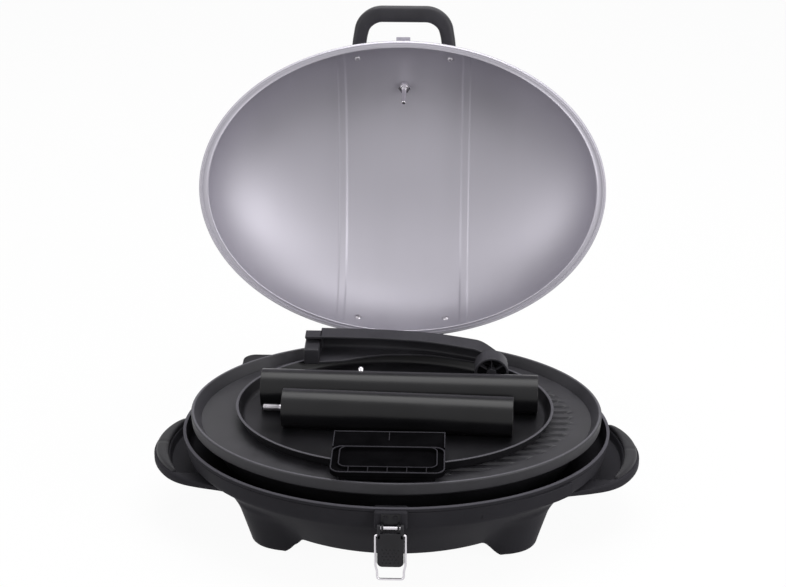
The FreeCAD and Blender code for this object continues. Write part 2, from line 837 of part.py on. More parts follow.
# Mains socket at the back left: pins, probe sleeve and earth strip in a block, inside a moulded shroud.
BLOCK_START = f"({SOCKET_WALL} - block_inside)"
BLOCK_END = f"({SOCKET_WALL} + block_reach)"
pins = group("terminal_pins", *[
    rod(f"terminal_pin{n}", "pin_radius", "pin_reach + tail_inside",
        f"{SOCKET_X} + {side} * terminal_spacing / 2", TAIL_Y, ELEMENT_Z, "y")
    for n, side in enumerate((-1, 1))
])
sleeve_round = rod("sleeve_round", "sleeve_radius", "sleeve_inside + sleeve_reach", SOCKET_X, SLEEVE_START,
                   ELEMENT_Z, "y")
sleeve_bore_rod = rod("sleeve_bore_rod", "sleeve_bore", "sleeve_inside + sleeve_reach", SOCKET_X,
                      SLEEVE_START, ELEMENT_Z, "y")
piece("terminal_pins", pins)
piece("probe_sleeve", cut("probe_sleeve", sleeve_round, sleeve_bore_rod))
block_solid = mid_box("block_solid", "block_width / 2", "block_inside + block_reach", "block_height",
                      SOCKET_X, BLOCK_START, f"{ELEMENT_Z} - block_height / 2")
terminal_block = piece("terminal_block", cut("terminal_block", block_solid, pins, sleeve_round))
earth = piece("earth_contact", mid_box(
    "earth_contact", "earth_width / 2", "pin_reach - earth_width", "earth_thickness",
    SOCKET_X, f"{SOCKET_WALL} + earth_width",
    f"{ELEMENT_Z} - block_height / 2 - earth_gap - earth_thickness"))
lid_clear = oval_stack("lid_clear", [
    (f"{LID_A} + lid_bead + shroud_lid_gap", f"{LID_B} + lid_bead + shroud_lid_gap", "lip_height"),
    (f"{LID_A} + lid_bead + shroud_lid_gap", f"{LID_B} + lid_bead + shroud_lid_gap", "2 * lip_height"),
])
shroud_solid = rounded_block(
    "shroud", "shroud_width", "sleeve_inside + shroud_reach", "shroud_top - shroud_bottom", "shroud_corner",
    SOCKET_X, f"{SLEEVE_START} + (sleeve_inside + shroud_reach) / 2", "shroud_bottom")
shroud_mouth = mid_box("shroud_mouth", "shroud_width / 2 - shroud_wall", "shroud_reach - block_reach",
                       "shroud_top - shroud_bottom - 2 * shroud_wall", SOCKET_X, BLOCK_END,
                       "shroud_bottom + shroud_wall")
piece("socket_shroud", cut("socket_shroud", shroud_solid, outer_tub, lid_clear, shroud_mouth, block_solid,
                           earth, pins, sleeve_round))

# Latch: a riveted bracket with a fixed pin, the lever that turns on it and the wire bail in the lever.
latch_pin = piece("latch_pin", rod("latch_pin", "latch_pin_radius", "lever_width", "-lever_width / 2",
                                   LATCH_PIN_Y, LATCH_PIN_Z, "x"))
bracket_plate = mid_box("bracket_plate", "bracket_half_width", "bracket_thickness",
                        "latch_boss_height - bracket_thickness", "0", f"{LATCH_FACE} - bracket_thickness",
                        "lip_height - latch_boss_drop - latch_boss_height")


def bracket_ear(name, side):
    start = f"{side} * bracket_ear_half_width - {1 if side > 0 else 0} * bracket_ear"
    return fuse(
        name,
        rod(f"{name}_round", "lever_knuckle_radius", "bracket_ear", start, LATCH_PIN_Y, LATCH_PIN_Z, "x"),
        box(f"{name}_neck", "bracket_ear", "latch_pin_reach", "2 * lever_knuckle_radius", start, LATCH_PIN_Y,
            f"{LATCH_PIN_Z} - lever_knuckle_radius"),
    )


RIVET_Z = f"(({LATCH_PIN_Z} + lever_knuckle_radius + lip_height - latch_boss_drop) / 2)"


def rivet(name, x, y, z, inner_length):
    """A rivet along Y whose round head is at the front."""
    return fuse(
        name,
        rod(f"{name}_shank", "rivet_radius", inner_length, x, y, z, "y"),
        rod(f"{name}_head", "rivet_head", "rivet_head_height", x, f"{y} - rivet_head_height", z, "y"),
    )


latch_rivets = group("latch_rivets", *[
    rivet(f"latch_rivet{n}", f"{side} * bracket_half_width / 2", f"{LATCH_FACE} - bracket_thickness", RIVET_Z,
          "bracket_thickness + latch_boss_proud")
    for n, side in enumerate((-1, 1))
])
piece("latch_rivets", latch_rivets)
piece("latch_bracket", cut(
    "latch_bracket",
    fuse("bracket_solid", bracket_plate, bracket_ear("bracket_ear_left", -1),
         bracket_ear("bracket_ear_right", 1)),
    latch_pin, latch_rivets,
))
base_drilled = cut("base_drilled", base_tub, socket_hole, block_window, socket_screws, reflector_screws,
                   latch_rivets)

LEVER_BACK = f"({LATCH_PIN_Y} - lever_knuckle_radius + lever_thickness)"
LEVER_FRONT = f"({LATCH_PIN_Y} - lever_knuckle_radius)"
BAIL_Y = f"({LATCH_PIN_Y} - bail_pivot_set)"


def lever_side(name, side):
    start = f"{side} * lever_width / 2 - {1 if side > 0 else 0} * lever_knuckle_width"
    knuckle = rod(f"{name}_knuckle", "lever_knuckle_radius", "lever_knuckle_width", start, LATCH_PIN_Y,
                  LATCH_PIN_Z, "x")
    arm = box(f"{name}_arm", "lever_knuckle_width", "lever_knuckle_radius + lever_boss_back",
              "bail_pivot_drop + lever_knuckle_radius", start, LEVER_FRONT,
              f"{LATCH_PIN_Z} - bail_pivot_drop - lever_knuckle_radius")
    return fuse(name, knuckle, arm)


lever_body = doc.addObject("PartDesign::Body", "lever_body")
lever_sketch = new_sketch(lever_body, "XZ_Plane", "lever_outline")
sketch_rectangle(lever_sketch, "lever_width", "lever_length - lever_plate_drop")
lever_pad = pad(lever_body, lever_sketch, "lever_plate", "lever_thickness")
doc.recompute()
lever_fillet = lever_body.newObject("PartDesign::Fillet", "lever_corners")
low_corners = [
    f"Edge{n}" for n, edge in enumerate(lever_pad.Shape.Edges, start=1)
    if abs(edge.tangentAt(edge.FirstParameter).y) > 0.9 and edge.CenterOfMass.z < 0
]
lever_fillet.Base = (lever_pad, low_corners)
tie(lever_fillet, Radius="lever_corner")
place(lever_body, "0", LEVER_BACK, f"{LATCH_PIN_Z} - (lever_length + lever_plate_drop) / 2")
LEVER_LOW = f"({LATCH_PIN_Z} - lever_length)"
dots = []
for grip_row in range(4):
    count = 5 - grip_row % 2
    for n in range(count):
        across = f"{n - (count - 1) / 2} * lever_dot_pitch"
        dots.append(rod(f"dot{grip_row}_{n}", "lever_dot_radius", "lever_dot_height", across,
                        f"{LEVER_FRONT} - lever_dot_height",
                        f"{LEVER_LOW} + lever_dot_rise + {grip_row} * lever_dot_pitch", "y"))
lever_solid = fuse("lever_solid", lever_body, lever_side("lever_left", -1), lever_side("lever_right", 1),
                   *dots)
pin_run = rod("pin_run", "latch_pin_radius + latch_pin_clearance", "2 * lever_width", "-lever_width",
              LATCH_PIN_Y, LATCH_PIN_Z, "x")
TOE_X = "(bail_top_half_width - bail_toe)"
bail_holes = group("bail_holes", *[
    rod(f"bail_hole{n}", "bail_wire_radius + bail_hole_clearance", "bail_toe + lever_knuckle_width",
        f"{x}", BAIL_Y, BAIL_PIVOT_Z, "x")
    for n, x in enumerate((f"{TOE_X} - bail_hole_clearance",
                           f"-({TOE_X} - bail_hole_clearance + bail_toe + lever_knuckle_width)"))
])
piece("latch_lever", cut("latch_lever", lever_solid, pin_run, bail_holes))


def bail_shape():
    y, z = number(BAIL_Y), number(BAIL_PIVOT_Z)
    toe, top, low = number(TOE_X), size("bail_top_half_width"), size("bail_low_half_width")
    side = z - size("bail_side")
    right = [
        Vector(toe, y, z), Vector(top, y, z), Vector(top, y, side), Vector(low, y, side - size("bail_jog")),
        Vector(low, y, z - size("bail_length")),
    ]
    left = [Vector(-p.x, p.y, p.z) for p in reversed(right)]
    bends = [size("bail_toe_bend"), size("bail_corner"), size("bail_corner"), size("bail_corner")]
    return wire_solid(rounded_path(right + left, bends + bends[::-1]), size("bail_wire_radius"))


piece("latch_bail", own_shape("latch_bail", bail_shape()))

# Foot pads under the lobes and grip pads on the ears.
piece("foot_pads", group("foot_pads", *[
    rod(f"foot_pad{n}", "foot_pad_radius", "foot_pad_height", f"{sx} * {LOBE_X}", f"{sy} * {LOBE_Y}")
    for n, (sx, sy) in enumerate(CORNERS)
]))
grip_oval = oval_stack(
    "grip_oval",
    [
        ("ear_half_width - grip_edge", "ear_half_depth - grip_edge", EAR_TOP),
        ("ear_half_width - grip_edge - grip_height / 2", "ear_half_depth - grip_edge - grip_height / 2",
         f"{EAR_TOP} + grip_height"),
    ],
    x=EAR_X,
)
grip_span = box("grip_span", f"2 * {LIP_A}", "2 * grip_half_depth", "2 * grip_height", "0",
                "-grip_half_depth", EAR_TOP)
grip_round = rod("grip_round", "recess_radius", "2 * grip_height", RECESS_X, "0", EAR_TOP)
right_grip = piece("right_grip", cut("right_grip", common("grip_solid", grip_oval, grip_span), grip_round))
piece("left_grip", opposite("left_grip", right_grip))


# Lid: a thin dome with a rolled rim, modelled shut and then turned about the hinge to stand open.
def dome_levels(grow):
    """Ovals up a dome that is larger than the lid's outside by grow."""
    levels = []
    for part in (0, 0.12, 0.25, 0.4, 0.55, 0.7, 0.82, 0.92, 0.985):
        narrow = f"pow(1 - pow({part}; dome_crown_power); 1 / dome_side_power)"
        levels.append((f"({LID_A} + {grow}) * {narrow}", f"({LID_B} + {grow}) * {narrow}",
                       f"{LID_Z} + (lid_depth + {grow}) * {part}"))
    return levels


def dome_height(x, y):
    """Height of the lid's outside above its rim."""
    spread = math.hypot(x / number(LID_A), y / number(LID_B))
    return size("lid_depth") * (1 - spread ** size("dome_side_power")) ** (1 / size("dome_crown_power"))


def dome_back(x, height, grow=0):
    """Distance in Y from the middle to the dome's outside at a height above the rim."""
    part = height / (size("lid_depth") + grow)
    narrow = (1 - part ** size("dome_crown_power")) ** (1 / size("dome_side_power"))
    return (number(LID_B) + grow) * narrow * math.sqrt(1 - (x / ((number(LID_A) + grow) * narrow)) ** 2)


def dome_slope(x, y):
    """Outward direction of the dome at a place, level across X."""
    step = 0.5
    slope = (dome_height(x, y + step) - dome_height(x, y - step)) / (2 * step)
    return math.degrees(math.atan(slope))


OPENED = Placement(Vector(), Rotation(Vector(-1, 0, 0), size("lid_open")),
                   Vector(0, number(HINGE_Y), number(HINGE_Z)))


def opened_piece(label, item):
    """A finished lid piece, turned from shut to open."""
    stood = group(f"{label}_open", item)
    stood.Placement = OPENED
    return piece(label, stood)


dome_outside = oval_stack("dome_outside", dome_levels("0"), smooth=True)
dome_inside = oval_stack("dome_inside", dome_levels("(-lid_wall)"), smooth=True)
dome_plate = oval_stack("dome_plate", dome_levels("lid_plate_thickness"), smooth=True)
bead_outside = oval_stack("bead_outside", [
    (f"{LID_A} + lid_bead", f"{LID_B} + lid_bead", LID_Z),
    (f"{LID_A} + lid_bead", f"{LID_B} + lid_bead", f"{LID_Z} + lid_bead_height"),
])
lid_outside = fuse("lid_outside", dome_outside, bead_outside)

# Hinge: outer lugs on the base, inner lugs on the lid and one pin through them.
hinge_pin = piece("hinge_pin", rod("hinge_pin", "hinge_pin_radius", "2 * hinge_half_width",
                                   "-hinge_half_width", HINGE_Y, HINGE_Z, "x"))
HINGE_FACE = f"({LIP_B} + hinge_boss_proud)"
HINGE_TOP = "(lip_height - hinge_boss_drop)"
INNER_LUG_X = "(hinge_half_width - hinge_outer_lug - hinge_lug_gap - hinge_inner_lug)"


def base_lug(name, start):
    barrel = rod(f"{name}_barrel", "hinge_barrel_radius", "hinge_outer_lug", start, HINGE_Y, HINGE_Z, "x")
    web = box(f"{name}_web", "hinge_outer_lug", f"{HINGE_Y} - {HINGE_FACE}", "2 * hinge_barrel_radius", start,
              HINGE_FACE, f"{HINGE_Z} - 2 * hinge_barrel_radius")
    return fuse(name, barrel, web)


hinge_base_screws = screws(
    "hinge_base_screws", "screw_radius", "hinge_boss_depth",
    [(f"{side} * hinge_base_screw_x", f"{HINGE_FACE} + hinge_plate_thickness - hinge_boss_depth",
      f"{HINGE_TOP} - hinge_plate_height / 2") for side in (-1, 1)],
    "y", head_first=False,
)
piece("hinge_base_screws", hinge_base_screws)
piece("base_shell", cut("base_shell", base_drilled, hinge_base_screws))
piece("hinge_base_bracket", cut(
    "hinge_base_bracket",
    fuse(
        "hinge_base_solid",
        mid_box("hinge_base_plate", "hinge_half_width", "hinge_plate_thickness", "hinge_plate_height", "0",
                HINGE_FACE, f"{HINGE_TOP} - hinge_plate_height"),
        base_lug("base_lug_left", "-hinge_half_width"),
        base_lug("base_lug_right", "hinge_half_width - hinge_outer_lug"),
    ),
    hinge_pin, hinge_base_screws,
))


def lid_lug(name, start):
    barrel = rod(f"{name}_barrel", "hinge_barrel_radius", "hinge_inner_lug", start, HINGE_Y, HINGE_Z, "x")
    arm = box(f"{name}_arm", "hinge_inner_lug", f"{HINGE_Y} - {LID_B} + lid_plate_height",
              "hinge_arm_height", start, f"{LID_B} - lid_plate_height", HINGE_Z)
    return fuse(name, barrel, arm)


hinge_screw_seat = dome_back(size("hinge_screw_x"), size("hinge_screw_rise")) - size("lid_wall")
hinge_lid_screws = group("hinge_lid_screws", *[
    fuse(
        f"hinge_lid_screw{n}",
        rod(f"hinge_lid_shank{n}", "screw_radius", "lid_plate_thickness + 2 * lid_wall",
            f"{side} * hinge_screw_x", str(hinge_screw_seat), f"{LID_Z} + hinge_screw_rise", "y"),
        rod(f"hinge_lid_head{n}", "screw_head_radius", "screw_head_height", f"{side} * hinge_screw_x",
            f"{hinge_screw_seat} - screw_head_height", f"{LID_Z} + hinge_screw_rise", "y"),
    )
    for n, side in enumerate((-1, 1))
])
lid_plate = common("lid_plate", dome_plate, mid_box(
    "lid_plate_span", "hinge_half_width", f"2 * {LID_B}", "lid_plate_height", "0", "0",
    f"{LID_Z} + lid_bead_height"))
pin_turn = rod("pin_turn", "hinge_pin_radius + hinge_pin_clearance", "2 * hinge_half_width",
               "-hinge_half_width", HINGE_Y, HINGE_Z, "x")
opened_piece("hinge_lid_bracket", cut(
    "hinge_lid_bracket_shut",
    fuse(
        "hinge_lid_solid", lid_plate,
        lid_lug("lid_lug_left", f"-({INNER_LUG_X} + hinge_inner_lug)"),
        lid_lug("lid_lug_right", INNER_LUG_X),
    ),
    lid_outside, pin_turn, hinge_lid_screws,
))
opened_piece("hinge_lid_screws", hinge_lid_screws)

# Handle: an arched grip on the lid's front slope, held by two screws from inside the dome.
handle_body = doc.addObject("PartDesign::Body", "handle_body")
handle_sketch = new_sketch(handle_body, "XY_Plane", "handle_outline")
HANDLE_HALF = [
    ("handle_half_width", "0"),
    ("handle_half_width", "handle_shoulder"),
    ("handle_bend_x", "handle_bend"),
    ("handle_grip_x", "handle_length"),
    ("handle_grip_x - handle_round", "handle_length - handle_bar"),
    ("handle_bend_x - handle_leg / 2", "handle_bend - handle_leg / 2 - handle_round"),
    ("handle_half_width - handle_leg", "0"),
]
right_points = [Vector(number(x), number(y)) for x, y in HANDLE_HALF]
left_points = [Vector(-p.x, p.y) for p in right_points]
outline = right_points[:4] + left_points[3::-1] + left_points[:3:-1] + right_points[4:]
handle_lines = [
    handle_sketch.addGeometry(Part.LineSegment(start, end), False)
    for start, end in zip(outline, outline[1:] + outline[:1])
]
for line, following in zip(handle_lines, handle_lines[1:] + handle_lines[:1]):
    handle_sketch.addConstraint(Sketcher.Constraint("Coincident", line, 2, following, 1))
right_ends = [0, 1, 2, 3, 11, 12, 13]
left_ends = [7, 6, 5, 4, 10, 9, 8]
for (x, y), right, left in zip(HANDLE_HALF, right_ends, left_ends):
    across = handle_sketch.addConstraint(
        Sketcher.Constraint("DistanceX", -1, 1, handle_lines[right], 1, number(x)))
    handle_sketch.setExpression(f"Constraints[{across}]", in_sheet(x))
    if y == "0":
        handle_sketch.addConstraint(Sketcher.Constraint("PointOnObject", handle_lines[right], 1, -1))
    else:
        along = handle_sketch.addConstraint(
            Sketcher.Constraint("DistanceY", -1, 1, handle_lines[right], 1, number(y)))
        handle_sketch.setExpression(f"Constraints[{along}]", in_sheet(y))
    handle_sketch.addConstraint(
        Sketcher.Constraint("Symmetric", handle_lines[left], 1, handle_lines[right], 1, -2))
handle_pad = pad(handle_body, handle_sketch, "handle_pad", "handle_depth")
doc.recompute()
handle_fillet = handle_body.newObject("PartDesign::Fillet", "handle_rounding")
handle_fillet.Base = (handle_pad, [
    f"Edge{n}" for n, edge in enumerate(handle_pad.Shape.Edges, start=1) if edge.CenterOfMass.y > 1
])
tie(handle_fillet, Radius="handle_round")
handle_body.Placement = Placement(Vector(), Rotation(Vector(0, 0, 1), 180))
place(handle_body, "0", f"-({LID_B} + handle_reach - handle_length)",
      f"{LID_Z} + handle_height - handle_depth / 2")

handle_y = -dome_back(size("handle_foot_x"), size("handle_height"))
handle_tilt = dome_slope(size("handle_foot_x"), handle_y)


def handle_screw(name, side):
    """A screw along the dome's outward direction, its head against the inside of the dome."""
    shank = rod(f"{name}_shank", "screw_radius", "handle_screw_length", "0", "0", "-lid_wall")
    head = rod(f"{name}_head", "screw_head_radius", "screw_head_height", "0", "0",
               "-lid_wall - screw_head_height")
    item = fuse(name, shank, head)
    item.Placement = Placement(
        Vector(side * size("handle_foot_x"), handle_y, number(LID_Z) + size("handle_height")),
        Rotation(Vector(1, 0, 0), handle_tilt))
    return item


handle_screws = group("handle_screws", handle_screw("handle_screw_left", -1),
                      handle_screw("handle_screw_right", 1))
opened_piece("handle_screws", handle_screws)
opened_piece("lid_handle", cut("lid_handle_shut", handle_body, dome_outside, handle_screws))

# Catch on the front of the lid: a small riveted plate with a shelf, where the bail hooks.
CATCH_Z = f"({LID_Z} + lid_bead_height + catch_rise)"
CATCH_FRONT = f"(-({LID_B} + catch_thickness + catch_shelf))"
SHELF_Z = f"({CATCH_Z} + catch_height - catch_margin - catch_lip - catch_thickness)"
dome_catch = oval_stack("dome_catch", dome_levels("catch_thickness"), smooth=True)
catch_plate = common("catch_plate", dome_catch, mid_box(
    "catch_plate_span", "catch_half_width", f"2 * {LID_B}", "catch_height", "0", f"-2 * {LID_B}", CATCH_Z))
catch_shelf = mid_box("catch_shelf", "catch_half_width", "2 * catch_shelf + 2 * catch_thickness",
                      "catch_thickness", "0", CATCH_FRONT, SHELF_Z)
catch_lip = mid_box("catch_lip", "catch_half_width", "catch_thickness", "catch_thickness + catch_lip", "0",
                    CATCH_FRONT, SHELF_Z)
catch_rivet_y = -dome_back(size("catch_rivet_x"), number(f"{CATCH_Z} - {LID_Z} + catch_height / 3"),
                           size("catch_thickness"))
catch_rivets = group("catch_rivets", *[
    rivet(f"catch_rivet{n}", f"{side} * catch_rivet_x", str(catch_rivet_y), f"{CATCH_Z} + catch_height / 3",
          "catch_thickness + 2 * lid_wall")
    for n, side in enumerate((-1, 1))
])
opened_piece("catch_rivets", catch_rivets)
opened_piece("lid_catch", cut(
    "lid_catch_shut", fuse("catch_solid", catch_plate, catch_shelf, catch_lip), lid_outside, catch_rivets))

# Thermometer, built along its own axis with the dome's outside at zero, then seated in the lid.
THERMO_SEAT = Placement(
    Vector(0, size("thermo_y"), number(LID_Z) + dome_height(0, size("thermo_y"))),
    Rotation(Vector(1, 0, 0), dome_slope(0, size("thermo_y"))))


def seated(name, item):
    held = group(f"{name}_seated", item)
    held.Placement = THERMO_SEAT
    return held


NECK_END = "(-thermo_neck_length)"
DIAL_Z = "(2 * thermo_wall)"
thermo_solid = fuse(
    "thermo_solid",
    rod("thermo_drum", "thermo_radius", "thermo_height", "0", "0", "thermo_wall / 4"),
    rod("thermo_neck", "thermo_neck_radius", "thermo_neck_length + thermo_wall", "0", "0", NECK_END),
)
thermo_hollow = rod("thermo_hollow", "thermo_radius - thermo_wall", "thermo_height", "0", "0", DIAL_Z)
spindle_run = rod("spindle_run", "spindle_radius + spindle_clearance", "thermo_height + thermo_neck_length",
                  "0", "0", NECK_END)
opened_piece("thermometer_case", seated("thermometer_case", cut(
    "thermometer_case_shut", thermo_solid, thermo_hollow, spindle_run)))
opened_piece("thermometer_dial", seated("thermometer_dial", cut(
    "thermometer_dial_shut",
    rod("dial_disc", "thermo_radius - thermo_wall", "thermo_dial", "0", "0", DIAL_Z),
    rod("dial_hole", "spindle_radius + spindle_clearance", "2 * thermo_dial", "0", "0", DIAL_Z))))
opened_piece("thermometer_glass", seated("thermometer_glass", rod(
    "glass_disc", "thermo_radius - thermo_wall", "thermo_glass", "0", "0",
    "thermo_height + thermo_wall / 4 - thermo_glass")))
STEM_END = "(-thermo_neck_length - thermo_stem_length)"
opened_piece("thermometer_stem", seated("thermometer_stem", cut(
    "thermometer_stem_shut",
    rod("stem_round", "thermo_stem_radius", "thermo_stem_length", "0", "0", STEM_END),
    rod("stem_bore", "thermo_stem_radius - thermo_stem_wall", "thermo_stem_length", "0", "0",
        f"{STEM_END} + thermo_stem_wall"))))
nut = doc.addObject("Part::Prism", "nut_hexagon")
nut.Polygon = 6
tie(nut, Circumradius="thermo_nut_radius", Height="thermo_nut_height")
NUT_Z = "(-2 * lid_wall - thermo_nut_height)"
place(nut, "0", "0", NUT_Z)
opened_piece("thermometer_nut", seated("thermometer_nut", cut(
    "thermometer_nut_shut", nut, rod("nut_bore", "thermo_neck_radius", "thermo_neck_length", "0", "0",
                                     NECK_END))))
NEEDLE_Z = f"({DIAL_Z} + 2 * thermo_dial)"
opened_piece("thermometer_spindle", seated("thermometer_spindle", rod(
    "spindle_rod", "spindle_radius", f"{NEEDLE_Z} - {STEM_END} - 2 * thermo_stem_wall", "0", "0",
    f"{STEM_END} + 2 * thermo_stem_wall")))
needle = fuse(
    "needle_solid",
    rod("needle_hub", "needle_width", "needle_thickness", "0", "0", NEEDLE_Z),
    box("needle_blade", "needle_length", "needle_width", "needle_thickness", "0", "-needle_width / 2",
        NEEDLE_Z))
turned(needle, (0, 0, 1), "needle_rest")
opened_piece("thermometer_needle", seated("thermometer_needle", needle))

lid_neck_hole = rod("lid_neck_hole", "thermo_neck_radius", "2 * thermo_neck_length", "0", "0", NECK_END)
opened_piece("lid_shell", cut("lid_shell_shut", lid_outside, dome_inside,
                              seated("lid_neck_hole", lid_neck_hole),
                              handle_screws, hinge_lid_screws, catch_rivets))

# Grill plate: a shallow cast dish, smooth on the left and grooved on the right.
FLOOR_A = "(plate_half_width - 2 * plate_rim)"
FLOOR_B = "(plate_half_depth - 2 * plate_rim)"
plate_rim_solid = oval_stack("plate_rim_solid", [
    ("plate_half_width", "plate_half_depth", PLATE_TOP),
    ("plate_half_width - plate_skirt_draft", "plate_half_depth - plate_skirt_draft",
     f"{PLATE_TOP} - plate_skirt"),
])
plate_foot = oval_stack("plate_foot", [
    ("plate_half_width - plate_foot_inset", "plate_half_depth - plate_foot_inset", PLATE_UNDER),
    ("plate_half_width - plate_foot_inset", "plate_half_depth - plate_foot_inset", PLATE_FLOOR),
])
plate_dish = oval_stack("plate_dish", [
    (FLOOR_A, FLOOR_B, PLATE_FLOOR),
    (f"{FLOOR_A} + plate_rim", f"{FLOOR_B} + plate_rim", PLATE_TOP),
])
groove_reach = int((number(FLOOR_B) - size("groove_border")) / size("groove_pitch"))
groove_runs = fuse("groove_runs", *[
    box(f"groove{n + groove_reach}", "plate_half_width", "groove_width", "2 * groove_depth", "groove_start",
        f"{n} * groove_pitch - groove_width / 2", f"{PLATE_FLOOR} - groove_depth")
    for n in range(-groove_reach, groove_reach + 1)
])
groove_border = oval_stack("groove_border_oval", [
    (f"{FLOOR_A} - groove_border", f"{FLOOR_B} - groove_border", f"{PLATE_FLOOR} - groove_depth"),
    (f"{FLOOR_A} - groove_border", f"{FLOOR_B} - groove_border", f"{PLATE_FLOOR} + groove_depth"),
])
piece("grill_plate", cut(
    "grill_plate", fuse("plate_solid", plate_rim_solid, plate_foot), plate_dish,
    common("grooves", groove_runs, groove_border),
    rod("drain_hole", "drain_radius", "plate_thickness + plate_depth", "0", "0", PLATE_UNDER),
))

# Stand pan, packed upside up on the plate.
pan_outside = fuse(
    "pan_outside",
    oval_stack("pan_dish", [
        ("pan_half_width - pan_lip - pan_lean", "pan_half_depth - pan_lip - pan_lean", "0"),
        ("pan_half_width - pan_lip", "pan_half_depth - pan_lip", "pan_height"),
    ]),
    oval_stack("pan_rim", [
        ("pan_half_width", "pan_half_depth", "pan_height - pan_wall"),
        ("pan_half_width", "pan_half_depth", "pan_height"),
    ]),
)
pan_inside = oval_stack("pan_inside", [
    ("pan_half_width - pan_lip - pan_lean - pan_wall", "pan_half_depth - pan_lip - pan_lean - pan_wall",
     "pan_wall"),
    ("pan_half_width - pan_lip - pan_wall", "pan_half_depth - pan_lip - pan_wall", "pan_height"),
])
stand_pan = piece("stand_pan", cut(
    "stand_pan", pan_outside, pan_inside, rod("pan_hole", "pan_hole_radius", "pan_height")))
turned(stand_pan, (0, 0, 1), "pan_turn")
place(stand_pan, "pan_x", "pan_y", PAN_Z)


# Stand tubes, packed in the pan.
def tube_body(name, length):
    body = doc.addObject("PartDesign::Body", f"{name}_body")
    sketch = new_sketch(body, "YZ_Plane", f"{name}_section", f"-({length}) / 2")
    sketch_circle(sketch, "tube_radius")
    sketch_circle(sketch, "tube_radius - tube_wall")
    pad(body, sketch, f"{name}_wall", length)
    return body


def laid(item, tube):
    """Lay a piece that is built about a tube's own middle where the tube is packed."""
    turned(item, (0, 0, 1), f"{tube}_turn")
    return place(item, f"{tube}_x", f"{tube}_y", TUBE_Z)


BUTTON_PLACE = Placement(Vector(size("button_x"), 0, 0), Rotation(Vector(1, 0, 0), -size("button_lean")))


def leaning(name, item):
    """Turn a piece that is built along Z to the button's lean."""
    held = group(f"{name}_leaning", item)
    held.Placement = BUTTON_PLACE
    return held


button_run = rod("button_run", "button_radius + button_clearance", "2 * tube_radius")
long_tube = cut("long_tube_solid", tube_body("long_tube", "long_tube_length"),
                leaning("button_run", button_run))
piece("long_tube", laid(group("long_tube", long_tube), "long_tube"))
BUTTON_BASE = "(tube_radius - 2 * tube_wall - button_skirt_height)"
button_solid = fuse(
    "button_solid",
    rod("button_shaft", "button_radius", f"tube_radius + button_reach - button_radius - {BUTTON_BASE}", "0",
        "0", BUTTON_BASE),
    ball_cap("button_dome", "button_radius", "0", "0", "tube_radius + button_reach - button_radius"),
    rod("button_skirt", "button_skirt_radius", "button_skirt_height", "0", "0", BUTTON_BASE),
)
piece("snap_button", laid(group("snap_button", leaning("snap_button", button_solid)), "long_tube"))


def spring_shape():
    """A flat V spring inside the tube, one leg under the button and one on the far wall."""
    top = number(BUTTON_BASE)
    low = -(size("tube_radius") - size("tube_wall"))
    half = size("button_spring_width") / 2
    thick = size("button_spring_thickness")
    bend = size("button_spring_reach")
    tip = size("button_skirt_radius")
    low = low + size("button_spring_lift")
    outside = [Vector(tip, -half, top), Vector(-bend, -half, 0), Vector(tip, -half, low)]
    inside = [Vector(tip, -half, low + thick), Vector(-bend + 2 * thick, -half, 0),
              Vector(tip, -half, top - thick)]
    face = Part.Face(Part.makePolygon(outside + inside + outside[:1]))
    return face.extrude(Vector(0, 2 * half, 0))


button_spring = own_shape("button_spring_strip", spring_shape())
piece("button_spring", laid(group("button_spring", leaning("button_spring", button_spring)), "long_tube"))

SHORT_END = "(-short_tube_length / 2)"
stud_rod = rod("stud_rod", "stud_radius", "stud_reach + plug_inset + plug_depth",
               f"{SHORT_END} - stud_reach", "0", "0", "x")
plug_rod = rod("plug_rod", "tube_radius - tube_wall - plug_gap", "plug_depth", f"{SHORT_END} + plug_inset",
               "0", "0", "x")
piece("short_tube", laid(tube_body("short_tube", "short_tube_length"), "short_tube"))
piece("tube_plug", laid(group("tube_plug", cut("tube_plug_solid", plug_rod, stud_rod)), "short_tube"))
piece("stand_stud", laid(group("stand_stud", stud_rod), "short_tube"))

# Stand foot: a curved channel open to the front, with a ribbed hub at its right end.
FOOT_Z = f"({PAN_TOP} + foot_seat_gap)"
FOOT_CURVE_Y = "(foot_back_y - foot_curve)"


def foot_round(name, radius, height="2 * foot_height_left", z=FOOT_Z):
    return rod(name, radius, height, "foot_curve_x", FOOT_CURVE_Y, z)


def foot_wedge(name, inset, start, end):
    """A block whose top falls from the foot's left height to its right height."""
    item = doc.addObject("Part::Wedge", name)
    depth = "4 * foot_low_flange"
    tie(item, Xmin="0", Xmax=depth, X2min="0", X2max=depth, Ymin="0", Ymax=f"{end} - {start}", Zmin="0",
        Z2min="0", Zmax=f"foot_height_left - 2 * {inset}", Z2max=f"foot_height_right - 2 * {inset}")
    item.Placement = Placement(Vector(), Rotation(Vector(0, 0, 1), -90))
    return place(item, start, "foot_back_y + foot_wall", f"{FOOT_Z} + {inset}")


foot_block = cut(
    "foot_block",
    common("foot_outside", foot_wedge("foot_wedge_outer", "0", "foot_x_start", "foot_x_end"),
           foot_round("foot_back", "foot_curve")),
    foot_round("foot_front", "foot_curve - foot_low_flange"),
)
foot_space = common("foot_space", foot_wedge("foot_wedge_inner", "foot_wall", "foot_x_start", "foot_x_end"),
                    foot_round("foot_inside", "foot_curve - foot_wall"))
foot_trim = foot_round("foot_trim", "foot_curve - foot_flange", "foot_height_left",
                       f"{FOOT_Z} + 2 * foot_wall")
foot_arch = rod("foot_arch", "foot_arch_radius", "2 * foot_wall", "foot_arch_x",
                "foot_back_y - foot_arch_depth - foot_arch_radius", f"{FOOT_Z} - foot_wall")
tongue_step = box("tongue_step", "foot_tongue_length", "2 * foot_low_flange", "foot_height_left",
                  "foot_x_start", "foot_back_y - 2 * foot_low_flange",
                  f"{FOOT_Z} + foot_height_left - foot_tongue_drop - foot_wall")
